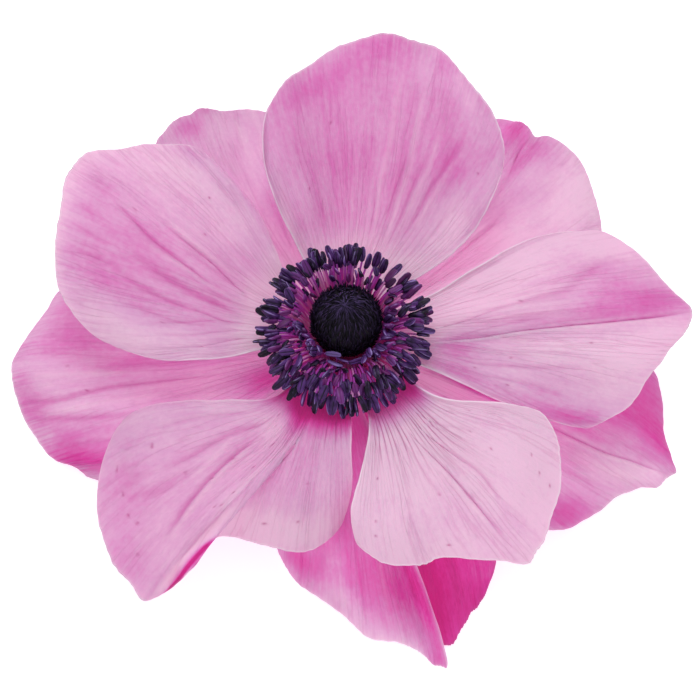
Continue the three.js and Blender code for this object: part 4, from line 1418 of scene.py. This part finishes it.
def stamenTree(template, antherMaterial, filamentMaterial):
    g = Graph(bpy.data.node_groups.new("stamenWhorl", "GeometryNodeTree"))
    count = g.named("Count", 40)
    first = g.named("First", 0.0)
    span = g.named("Span", 2 * math.pi)
    reach = g.named("Reach", 8.0)
    tuck = g.named("Tuck", 1.0)
    front = g.named("Front", 0.0)
    height = g.named("Height", 4.0)
    lift = g.named("Lift", 1.5)
    tilt = g.named("Tilt", 0.4)
    lean = g.named("Lean", 0.4)
    scatter = g.named("Scatter", 0.5)
    swing = g.named("Swing", 0.3)
    aside = g.named("Aside", 0.0)
    crowding = g.named("Crowding", 0.2)
    bunching = g.named("Bunching", 0.0)
    gapAngle = g.named("Gap angle", 1.0)
    parting = g.named("Parting", 0.0)
    rootRadius = g.named("Root radius", 4.1)
    rootLevel = g.named("Root level", 1.6)
    bow = g.named("Bow", 0.6)
    filamentWidth = g.named("Filament width", 0.3)
    antherLength = g.named("Anther length", 2.2)
    antherWidth = g.named("Anther width", 0.85)
    paleness = g.named("Paleness", 0.0)
    blush = g.named("Blush", -0.4)
    index = g.node("GeometryNodeInputIndex")
    draw = g.drawing(index, g.named("Seed", 1))

    # turns crowd at the front, gather in bunches and part at the gap
    turn = first + (index + draw(-stamen["jitter"], stamen["jitter"], 1)) / count * span
    bunches = g.math("SINE", turn * stamen["bunches"] + stamen["bunchesFrom"])
    angle = turn - crowding * g.math("COSINE", turn) + bunching * bunches
    fromGap = angle - gapAngle
    nearGap = g.math("EXPONENT", fromGap * fromGap * -stamen["gapNarrowness"])
    angle = angle + parting * fromGap * nearGap

    # the ring of anthers is higher and drawn in at the back, and lower and wider at the front
    c, s = g.math("COSINE", angle), g.math("SINE", angle)
    behind = s * 0.5 + 0.5
    ahead = 1 - behind
    far = reach - tuck * behind * behind + front * ahead * ahead + scatter * draw(-1.0, 1.0, 2)
    high = height + lift * s + stamen["heightScatter"] * scatter * draw(-1.0, 1.0, 3)
    slope = tilt + lean * s + draw(-stamen["slopeScatter"], stamen["slopeScatter"], 4)
    turned = angle + aside + swing * draw(-1.0, 1.0, 5)
    neck = g.vector(c * far, s * far, high)
    footing = rootRadius + draw(-stamen["footScatter"], stamen["footScatter"], 6)
    foot = g.vector(c * footing, s * footing, rootLevel)
    kneeOut = footing + (far - footing) * stamen["kneeOut"]
    kneeUp = rootLevel + (high - rootLevel) * stamen["kneeUp"] + bow
    flat = g.math("COSINE", slope)
    x, y = flat * g.math("COSINE", turned), flat * g.math("SINE", turned)
    points = g.node("GeometryNodePoints", None, {"Count": count, "Position": neck})
    points = g.store(points, "shade", draw(0.0, 1.0, 7) + paleness)
    points = g.store(points, "blush", draw(-1.0, 1.0, 10) + blush)
    points = g.store(points, "foot", foot, "FLOAT_VECTOR")
    points = g.store(points, "knee", g.vector(c * kneeOut, s * kneeOut, kneeUp), "FLOAT_VECTOR")
    points = g.store(points, "neck", neck, "FLOAT_VECTOR")

    line = g.node("GeometryNodeCurvePrimitiveLine", None, {"End": (0.0, 0.0, 1.0)})
    inputs = {"Curve": line, "Count": stamen["curvePoints"]}
    line = g.node("GeometryNodeResampleCurve", None, inputs)
    threads = g.node("GeometryNodeInstanceOnPoints", None, {"Points": points, "Instance": line})
    threads = g.node("GeometryNodeRealizeInstances", None, {"Geometry": threads})
    share = g.node("GeometryNodeSplineParameter", None, None, "Factor")
    inputs = {"Geometry": threads, "Position": bentPath(g, share)}
    threads = g.node("GeometryNodeSetPosition", None, inputs)
    threads = g.store(threads, "along", share)
    inputs = {"Resolution": stamen["sides"], "Radius": filamentWidth * 0.5}
    ring = g.node("GeometryNodeCurvePrimitiveCircle", None, inputs)
    tubes = g.node("GeometryNodeCurveToMesh", None, {
        "Curve": threads,
        "Profile Curve": ring,
        "Scale": stamen["footWidth"] - share * stamen["taper"],
        "Fill Caps": True,
    })
    tubes = g.node("GeometryNodeSetShadeSmooth", None, {"Geometry": tubes})
    tubes = g.store(tubes, "filament", 1.0)

    pod = g.node("GeometryNodeObjectInfo", None, {"Object": template}, "Geometry")
    inputs = {"Axis": (0.0, 0.0, 1.0), "Angle": draw(-math.pi, math.pi, 8)}
    spin = g.node("FunctionNodeAxisAngleToRotation", None, inputs)
    inputs = {"Rotation": g.pointing(g.vector(x, y, g.math("SINE", slope))), "Rotate By": spin}
    posed = g.node("FunctionNodeRotateRotation", {"rotation_space": "LOCAL"}, inputs)
    size = draw(*stamen["size"], 9)
    pods = g.node("GeometryNodeInstanceOnPoints", None, {
        "Points": points,
        "Instance": pod,
        "Rotation": posed,
        "Scale": g.vector(antherWidth * size, antherWidth * size, antherLength * size),
    })
    whole = g.node("GeometryNodeJoinGeometry", None, {"Geometry": [tubes, pods]})
    whole = g.settled(whole, antherMaterial)
    g.finish(g.node("GeometryNodeSetMaterial", None, {
        "Geometry": whole,
        "Selection": g.math("GREATER_THAN", g.stored("filament"), 0.5),
        "Material": filamentMaterial,
    }))
    return g.tree


# First and Span: the arc that a whorl fills, in radians. Reach, Height and Tilt: where the
# anthers are and how steeply they point, in radians. Tuck: what the back takes from the reach.
# Front: what the front adds to it. Lift and Lean: what the back adds to the height and the tilt
# and the front takes from them. Scatter and Swing: unevenness in place and direction. Aside: a
# turn from straight out. Crowding: how much closer they stand at the front. Bunching: how much
# they gather in bunches. Parting: how far they part at the gap. Bow: how far the filaments arch
# up. Paleness and Blush: how much paler and how much more magenta the anthers are.
whorls = {
    "stamens_outer": {
        "Count": 152, "Reach": 8.2, "Tuck": 1.3, "Front": 1.2, "Height": 5.0, "Lift": 1.1,
        "Tilt": -0.12, "Lean": 0.75, "Scatter": 0.3, "Swing": 0.3, "Crowding": 0.42,
        "Bunching": 0.052, "Bow": 0.6, "Anther length": 2.15, "Anther width": 0.92,
        # painted shade: a paleness below 0 darkens this whorl
        "Blush": -0.55, "Paleness": -0.12, "Parting": 2.4, "Seed": 3,
    },
    "stamens_middle": {
        "Count": 104, "First": 1.3, "Span": 5.5, "Reach": 7.7, "Tuck": 1.1, "Front": 0.4,
        "Height": 5.3, "Lift": 0.8, "Tilt": 0.0, "Lean": 0.55, "Scatter": 0.42, "Swing": 0.45,
        "Crowding": 0.25, "Bunching": -0.04, "Parting": 2.4, "Bow": 0.5, "Anther length": 2.0,
        "Anther width": 0.9, "Seed": 17,
    },
    "stamens_inner": {
        "Count": 44, "First": 2.5, "Span": 4.8, "Reach": 6.8, "Tuck": 0.6, "Height": 5.4,
        "Lift": 0.5, "Tilt": 0.15, "Lean": 0.4, "Scatter": 0.5, "Swing": 0.7, "Crowding": 0.2,
        "Bow": 0.3, "Anther length": 1.75, "Anther width": 0.85, "Blush": -0.2, "Seed": 29,
    },
    "stamens_short": {
        "Count": 50, "Reach": 6.0, "Tuck": 0.3, "Height": 4.5, "Lift": 0.8, "Tilt": 0.5,
        "Lean": 0.0, "Scatter": 0.7, "Swing": 1.2, "Crowding": -0.25, "Bow": 0.2,
        "Anther length": 1.15, "Anther width": 0.65, "Blush": 0.35, "Seed": 83,
    },
    "stamens_young": {
        "Count": 4, "First": 4.15, "Span": 0.75, "Reach": 5.1, "Height": 4.8, "Lift": 0.0,
        "Tuck": 0.0, "Tilt": 0.05, "Lean": 0.0, "Scatter": 0.3, "Swing": 0.5, "Aside": 1.5,
        "Crowding": 0.0, "Bow": 0.0, "Anther length": 1.7, "Anther width": 0.6, "Paleness": 1.0,
        "Blush": -1.0, "Seed": 44,
    },
    "stamens_left_buds": {
        "Count": 12, "First": 3.3, "Span": 0.9, "Reach": 5.0, "Tuck": 0.0, "Height": 5.1,
        "Lift": 0.0, "Tilt": 0.5, "Lean": 0.0, "Scatter": 0.4, "Swing": 1.3, "Crowding": 0.0,
        "Bow": 0.0, "Anther length": 1.2, "Anther width": 0.95, "Paleness": 0.35, "Seed": 67,
    },
    "stamens_right_buds": {
        "Count": 18, "First": 5.2, "Span": 1.4, "Reach": 5.1, "Tuck": 0.0, "Height": 5.3,
        "Lift": 0.2, "Tilt": 0.5, "Lean": 0.0, "Scatter": 0.45, "Swing": 1.3, "Crowding": 0.0,
        "Bow": 0.0, "Anther length": 1.4, "Anther width": 0.95, "Paleness": 0.3, "Seed": 71,
    },
    "stamens_small": {
        "Count": 34, "Reach": 5.2, "Tuck": 0.0, "Height": 4.2, "Lift": 0.6, "Tilt": 0.8,
        "Lean": 0.0, "Scatter": 0.5, "Swing": 1.0, "Crowding": 0.2, "Bow": 0.0, "Paleness": -0.3,
        "Anther length": 1.3, "Anther width": 0.8, "Seed": 53,
    },
}

stamenPieces = bpy.data.collections.new("stamenPieces")
template = antherTemplate()
whorlTree = stamenTree(template, antherSkin(), filamentSkin())
for name, values in whorls.items():
    piece = grown(name, whorlTree, values)
    stamenPieces.objects.link(piece)
    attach(piece, "root")
    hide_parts("stamen_ring")
bpy.data.objects.remove(template)
print("stamens:", sum(values["Count"] for values in whorls.values()))


# Pistil head: a dark dome that hundreds of fine styles cover.
pistil = {
    "low": 1.3,
    "centre": 5.1,
    "top": 8.8,
    "radius": 3.95,
    "lopsided": 0.04,  # how much it bulges to the right
    "waist": 2.4,
    "rings": 15,
    "segments": 40,
    "styles": 1300,
    "styleLength": 1.3,
    "styleWidth": 0.17,
    "styleSides": 5,
    "styleLean": 0.7,
    "spike": ((0.0, 0.5), (0.3, 0.45), (0.65, 0.35), (0.9, 0.22), (1.0, 0.06)),  # height, half width
    "styleSize": (0.8, 1.15),  # least and most
    "lowest": 3.2,
    "jitter": 0.06,  # of each style's turn, in radians
    "seat": 0.97,  # share of the dome's radius at which they stand
    "sunk": 0.15,  # how much lower than the dome's surface they start
    "along": 0.92,  # how much they lie along the dome, towards its crown
    "outward": 0.4,  # and point away from it
    "tousle": 0.2,
    "inwardLift": 0.6,  # of the direction that their tips lean in
    # painted light and shade: styles brighter at the crown, darker towards the foot
    "crownShade": 1.15,  # brightness of the styles at the crown, 1 more than at the foot
}


def domeRadius(height):
    low = pistil["centre"] if height > pistil["centre"] else pistil["low"]
    off = (height - pistil["centre"]) / (pistil["top"] - low)
    return pistil["radius"] * math.sqrt(max(0.0, 1 - off ** 2))


def domeProfile():
    rise = np.sin(np.linspace(0, 1, pistil["rings"]) * math.pi / 2)
    heights = pistil["lowest"] + (pistil["top"] - pistil["lowest"]) * rise
    rings = [(domeRadius(height), height) for height in heights[:-1]]
    foot = [(0, pistil["low"]), (pistil["waist"], pistil["low"])]
    return foot + rings + [(0, pistil["top"])]


def bulging(angle, height):
    return 1 + pistil["lopsided"] * math.cos(angle)


pistilLook = {
    "black": linear(12, 7, 15),
    # the violet of the styles' tips is partly their own colour and partly painted sheen
    "violet": linear(96, 76, 128),
    "grain": (1400.0, 3.0),  # scale and detail
    "grainShare": 0.4,
    # painted sheen and shade: more violet towards the dome's back, darker at its front
    "sheenFrom": (-3.0, 3.5),  # front and back, between which the sheen grows
    "sheen": (0.5, 0.6),  # at the front, and what the back has more
    "tipShare": 1.35,  # of the violet, at the tips
    "bump": (0.4, 0.05),  # strength and height
}


def pistilSkin():
    material, g = newMaterial("pistilBlack", pistilLook["black"])
    place = g.node("ShaderNodeTexCoord", None, None, "Object")
    shade, edge = g.attribute("shade"), g.attribute("edge")
    grain = g.noise(place, *pistilLook["grain"])
    front, back = pistilLook["sheenFrom"]
    least, more = pistilLook["sheen"]
    # painted sheen: brighter violet towards the back and at the styles' tips
    sheen = g.step(g.part(place, "Y"), front * mm, back * mm) * more + least
    tips = edge * shade * sheen * pistilLook["tipShare"]
    lit = g.clamp(tips + (grain - 0.5) * pistilLook["grainShare"])
    g.finish(g.node("ShaderNodeBsdfPrincipled", None, {
        "Base Color": g.mix(lit, pistilLook["black"], pistilLook["violet"]),
        "Roughness": 0.5 + (grain - 0.5) * 0.3,
        "Specular IOR Level": 0.22,
        "Normal": g.bump(grain, *pistilLook["bump"]),
    }))
    return material


def spikeTemplate(name, around, stations, lean):
    # a slim spike 1 long from the origin up +Z, whose tip leans towards +X
    points, edge = [], []
    for height, halfWidth in stations:
        for k in range(around):
            angle = 2 * math.pi * k / around
            x = halfWidth * math.cos(angle) + lean * height ** 2
            points.append((x, halfWidth * math.sin(angle), height))
            edge.append(height)
    return templateObject(name, points, ringFaces(around, len(stations)), edge)


def styleTree(template, material):
    g = Graph(bpy.data.node_groups.new("pistilStyles", "GeometryNodeTree"))
    count = g.named("Count", 600)
    length = g.named("Style length", 1.2)
    width = g.named("Style width", 0.3)
    lowest = g.named("Lowest", 3.6)
    top = g.named("Top", 9.0)
    centre = g.named("Centre", 5.2)
    radius = g.named("Radius", 3.9)
    low = g.named("Low", 1.3)
    lopsided = g.named("Lopsided", 0.0)
    index = g.node("GeometryNodeInputIndex")
    draw = g.drawing(index, g.named("Seed", 5))

    share = (index + 0.5) / count
    height = top - (top - lowest) * share
    angle = index * goldenAngle + draw(-pistil["jitter"], pistil["jitter"], 1)
    above = g.math("GREATER_THAN", height, centre)
    reach = above * (top - centre) + (1 - above) * (top - low)
    off = (height - centre) / reach
    spread = radius * g.math("SQRT", g.math("MAXIMUM", 1 - off * off, 0.0))
    c, s = g.math("COSINE", angle), g.math("SINE", angle)
    wide = spread * (1 + lopsided * c) * pistil["seat"]
    place = g.vector(c * wide, s * wide, height - pistil["sunk"])
    rise = off * radius / reach
    out = spread / radius
    along, outward, tousle = pistil["along"], pistil["outward"], pistil["tousle"]
    heading = g.vector(
        c * (out * outward - rise * along) + draw(-tousle, tousle, 2),
        s * (out * outward - rise * along) + draw(-tousle, tousle, 3),
        rise * outward + out * along,
    )
    points = g.node("GeometryNodePoints", None, {"Count": count, "Position": place})
    # painted shade: the styles darken towards the dome's foot
    points = g.store(points, "shade", draw(0.0, 1.0, 4) * (pistil["crownShade"] - share))
    spike = g.node("GeometryNodeObjectInfo", None, {"Object": template}, "Geometry")
    inward = g.vector(-1 * c, -1 * s, pistil["inwardLift"])
    settings = {"axis": "X", "pivot_axis": "Z"}
    inputs = {"Rotation": g.pointing(heading), "Vector": inward}
    turned = g.node("FunctionNodeAlignRotationToVector", settings, inputs)
    size = draw(*pistil["styleSize"], 5)
    spikes = g.node("GeometryNodeInstanceOnPoints", None, {
        "Points": points,
        "Instance": spike,
        "Rotation": turned,
        "Scale": g.vector(width * size, width * size, length * size),
    })
    g.finish(g.settled(spikes, material))
    return g.tree


blackSkin = pistilSkin()
dome = linkObject("pistil_dome", lathedMesh("pistil_dome", domeProfile(), pistil["segments"], bulging))
dome.data.materials.append(blackSkin)
template = spikeTemplate("styleTemplate", pistil["styleSides"], pistil["spike"], pistil["styleLean"])
styles = grown("pistil_styles", styleTree(template, blackSkin), {
    "Count": pistil["styles"],
    "Style length": pistil["styleLength"],
    "Style width": pistil["styleWidth"],
    "Lowest": pistil["lowest"],
    "Top": pistil["top"],
    "Centre": pistil["centre"],
    "Radius": pistil["radius"],
    "Low": pistil["low"],
    "Lopsided": pistil["lopsided"],
})
bpy.data.objects.remove(template)
for piece in (dome, styles):
    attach(piece, "root")
    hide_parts("pistil_head")
print("styles:", pistil["styles"])


# Stalk and receptacle: a ribbed, downy stalk, cut short, that widens under the tepals. Heights
# here are above the cut end.
stalk = {
    "radius": 1.87,
    "flare": 2.73,  # what the receptacle's radius has more
    "flareFrom": 5.0,
    "flareTo": 8.8,
    "foot": 0.18,  # what the cut end's radius has more
    "footHeight": 0.5,
    "rim": 11.1,
    "crown": ((4.5, 11.28), (4.2, 11.4)),
    "rings": 70,
    "segments": 110,
    "ribs": 11,
    "ribDepth": 0.035,
    "ribWander": 0.5,
    "ribTwist": 0.6,
    "hairs": 1400,
    "hairLength": 0.75,
    "hairWidth": 0.07,
    "hairSides": 4,
    "hair": ((0.0, 0.5), (0.5, 0.4), (1.0, 0.08)),  # height, half width
    "hairSize": (0.6, 1.2),  # least and most
    "hairJitter": 0.5,  # of each hair's turn, in radians
    "hairTousle": 0.35,
    "hairRise": (-0.25, 0.6),  # least and most
    "hairSeat": 0.97,  # share of the stalk's radius at which they stand
}

stalkLook = {
    "green": linear(116, 132, 66),
    "pale": linear(172, 182, 118),
    "flush": linear(146, 84, 92),
    # painted light: the receptacle's top takes the hot magenta of light that the tepals let through
    "receptacle": linear(196, 40, 124),
    "cut": linear(206, 214, 168),
    "down": linear(226, 226, 214),
    "stretch": (1.0, 1.0, 0.12),  # of the fibres
    "fibres": (2600.0, 3.0),  # scale and detail
    "patches": (260.0, 2.0),
    "pores": (3200.0, 1.0),
    "paleFibres": (0.35, 0.7),
    "flushPatches": (0.45, 0.75),
    "flushShare": 0.7,
    "receptacleFrom": (-1.4, 0.6),  # heights from the tepals' roots, between which it sets in
    "cutHeight": 0.12,
    "cutShare": (0.55, 0.7),  # plain, and what the pores add
    "bump": (0.5, 0.08),  # strength and height
}


def stalkSkin():
    material, g = newMaterial("stalkGreen", stalkLook["green"])
    place = g.node("ShaderNodeTexCoord", None, None, "Object")
    inputs = {"Vector": place, "Scale": stalkLook["stretch"]}
    fibres = g.noise(g.node("ShaderNodeMapping", None, inputs), *stalkLook["fibres"])
    patches = g.noise(place, *stalkLook["patches"])
    pores = g.noise(place, *stalkLook["pores"])
    pale = g.step(fibres, *stalkLook["paleFibres"])
    colour = g.mix(pale, stalkLook["green"], stalkLook["pale"])
    flush = g.step(patches, *stalkLook["flushPatches"]) * stalkLook["flushShare"]
    colour = g.mix(flush, colour, stalkLook["flush"])
    level = g.part(place, "Z")
    low, high = (axisPlace[2] + height * mm for height in stalkLook["receptacleFrom"])
    # painted light: hot magenta of light through the tepals on the receptacle's top
    colour = g.mix(g.step(level, low, high), colour, stalkLook["receptacle"])
    cutLevel = axisPlace[2] - rootHeight * mm
    cut = 1 - g.step(level, cutLevel, cutLevel + stalkLook["cutHeight"] * mm)
    plain, porous = stalkLook["cutShare"]
    colour = g.mix(cut * (plain + pores * porous), colour, stalkLook["cut"])
    g.finish(g.node("ShaderNodeBsdfPrincipled", None, {
        "Base Color": colour,
        "Roughness": 0.55,
        "Specular IOR Level": 0.4,
        "Normal": g.bump(fibres, *stalkLook["bump"]),
    }))
    return material


def downSkin():
    material, g = newMaterial("stalkDown", stalkLook["down"])
    g.finish(g.node("ShaderNodeBsdfPrincipled", None, {
        "Base Color": stalkLook["down"],
        "Roughness": 0.5,
        "Sheen Weight": 0.3,
    }))
    return material


def stalkProfile():
    heights = np.linspace(0, stalk["rim"], stalk["rings"])
    radii = stalk["radius"] + stalk["flare"] * softStep(heights, stalk["flareFrom"], stalk["flareTo"])
    radii += stalk["foot"] * np.exp(-heights / stalk["footHeight"])
    rings = list(zip(radii, heights)) + list(stalk["crown"])
    profile = [(0, 0)] + rings + [(0, rings[-1][1])]
    return [(radius, height - rootHeight) for radius, height in profile]


def ribbed(angle, height):
    # ribs run up the stalk and die out on the receptacle
    plain = softStep(height + rootHeight, stalk["flareFrom"], stalk["flareTo"])
    wander = stalk["ribWander"] * math.sin(2 * angle + stalk["ribTwist"] * height)
    groove = 0.5 - 0.5 * math.cos(stalk["ribs"] * angle + wander)
    return 1 - stalk["ribDepth"] * (1 - plain) * groove


def hairTree(template, material):
    g = Graph(bpy.data.node_groups.new("stalkHairs", "GeometryNodeTree"))
    count = g.named("Count", 900)
    length = g.named("Hair length", 0.7)
    width = g.named("Hair width", 0.05)
    radius = g.named("Radius", 1.9)
    flare = g.named("Flare", 2.7)
    flareFrom = g.named("Flare from", 5.0)
    flareTo = g.named("Flare to", 8.8)
    lowest = g.named("Lowest", 0.4)
    highest = g.named("Highest", 7.6)
    index = g.node("GeometryNodeInputIndex")
    draw = g.drawing(index, g.named("Seed", 9))

    height = lowest + (highest - lowest) * (index + 0.5) / count
    angle = index * goldenAngle + draw(-stalk["hairJitter"], stalk["hairJitter"], 1)
    out = radius * stalk["hairSeat"] + flare * g.step(height, flareFrom, flareTo)
    c, s = g.math("COSINE", angle), g.math("SINE", angle)
    tousle = stalk["hairTousle"]
    x, y = c + draw(-tousle, tousle, 2), s + draw(-tousle, tousle, 3)
    heading = g.vector(x, y, draw(*stalk["hairRise"], 4))
    place = g.vector(c * out, s * out, height - rootHeight)
    hairs = g.node("GeometryNodeInstanceOnPoints", None, {
        "Points": g.node("GeometryNodePoints", None, {"Count": count, "Position": place}),
        "Instance": g.node("GeometryNodeObjectInfo", None, {"Object": template}, "Geometry"),
        "Rotation": g.pointing(heading),
        "Scale": g.vector(width, width, length * draw(*stalk["hairSize"], 5)),
    })
    g.finish(g.settled(hairs, material))
    return g.tree


stem = linkObject("stalk_stem", lathedMesh("stalk_stem", stalkProfile(), stalk["segments"], ribbed))
stem.data.materials.append(stalkSkin())
template = spikeTemplate("hairTemplate", stalk["hairSides"], stalk["hair"], 0.0)
hairs = grown("stalk_hairs", hairTree(template, downSkin()), {
    "Count": stalk["hairs"],
    "Hair length": stalk["hairLength"],
    "Hair width": stalk["hairWidth"],
    "Radius": stalk["radius"],
    "Flare": stalk["flare"],
    "Flare from": stalk["flareFrom"],
    "Flare to": stalk["flareTo"],
})
bpy.data.objects.remove(template)
for piece in (stem, hairs):
    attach(piece, "root")
    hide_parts("stalk_and_receptacle")
print("hairs:", stalk["hairs"])


# Floor, lamps and camera; sizes and distances of the first two are in metres.
floor = {
    "size": 1.6,
    "colour": linear(252, 252, 252),
    "glow": 0.4,  # lights the flower's shadow away
}
half = floor["size"] / 2
corners = [(-half, -half, 0), (half, -half, 0), (half, half, 0), (-half, half, 0)]
mesh = bpy.data.meshes.new("floor")
mesh.from_pydata(corners, [], [(0, 1, 2, 3)])
ground = linkObject("floor", mesh)
material, g = newMaterial("floorWhite", floor["colour"])
g.finish(g.node("ShaderNodeBsdfPrincipled", None, {
    "Base Color": floor["colour"],
    "Roughness": 0.9,
    "Emission Color": floor["colour"],
    "Emission Strength": floor["glow"],
}))
ground.data.materials.append(material)
openPieces.objects.link(ground)

sky = 0.54  # strength of the even light
# a lamp that lights only some pieces casts no shadows and isn't seen in their gloss
lamps = {
    "key": {"power": 1.3, "direction": (-0.1, 0.5, 0.85), "distance": 0.6, "size": 0.35},
    "fill": {
        "power": 1.6, "direction": (0.0, -0.35, 0.94), "distance": 0.7, "size": 0.6,
        "only": openPieces,
    },
    "glint": {
        "power": 0.6, "direction": (0.2, -0.6, 0.8), "distance": 0.7, "size": 0.3,
        "only": stamenPieces,
    },
}
world = bpy.data.worlds.new("studio")
world.use_nodes = True
world.node_tree.nodes["Background"].inputs["Color"].default_value = (1, 1, 1, 1)
world.node_tree.nodes["Background"].inputs["Strength"].default_value = sky
bpy.context.scene.world = world

for name, settings in lamps.items():
    direction = Vector(settings["direction"]).normalized()
    lamp = bpy.data.lights.new(name, "AREA")
    lamp.shape = "DISK"
    lamp.size = settings["size"]
    lamp.energy = settings["power"]
    lamp.use_shadow = "only" not in settings
    lampObject = bpy.data.objects.new(name, lamp)
    lampObject.visible_glossy = "only" not in settings
    if "only" in settings:
        lampObject.light_linking.receiver_collection = settings["only"]
    lampObject.location = Vector(axisPlace) + direction * settings["distance"]
    lampObject.rotation_euler = direction.to_track_quat("Z", "Y").to_euler()
    bpy.context.collection.objects.link(lampObject)

sin, cos = math.sin(camera["elevation"]), math.cos(camera["elevation"])
right, up = np.array([1, 0, 0]), np.array([0, sin, cos])
toward = np.array([0, -cos, sin])
aim = axisPlace + (camera["aim"][0] * right + camera["aim"][1] * up) * mm
lens = bpy.data.cameras.new("camera")
lens.sensor_width = camera["sensor"]
lens.lens = camera["sensor"] * camera["distance"] / camera["frameWidth"]
lens.clip_start = camera["clipStart"] * mm
eye = bpy.data.objects.new("camera", lens)
eye.location = aim + toward * camera["distance"] * mm
eye.rotation_euler = (math.pi / 2 - camera["elevation"], 0, 0)
bpy.context.collection.objects.link(eye)
bpy.context.scene.camera = eye
bpy.context.scene.view_settings.view_transform = "Standard"
print("stage set")
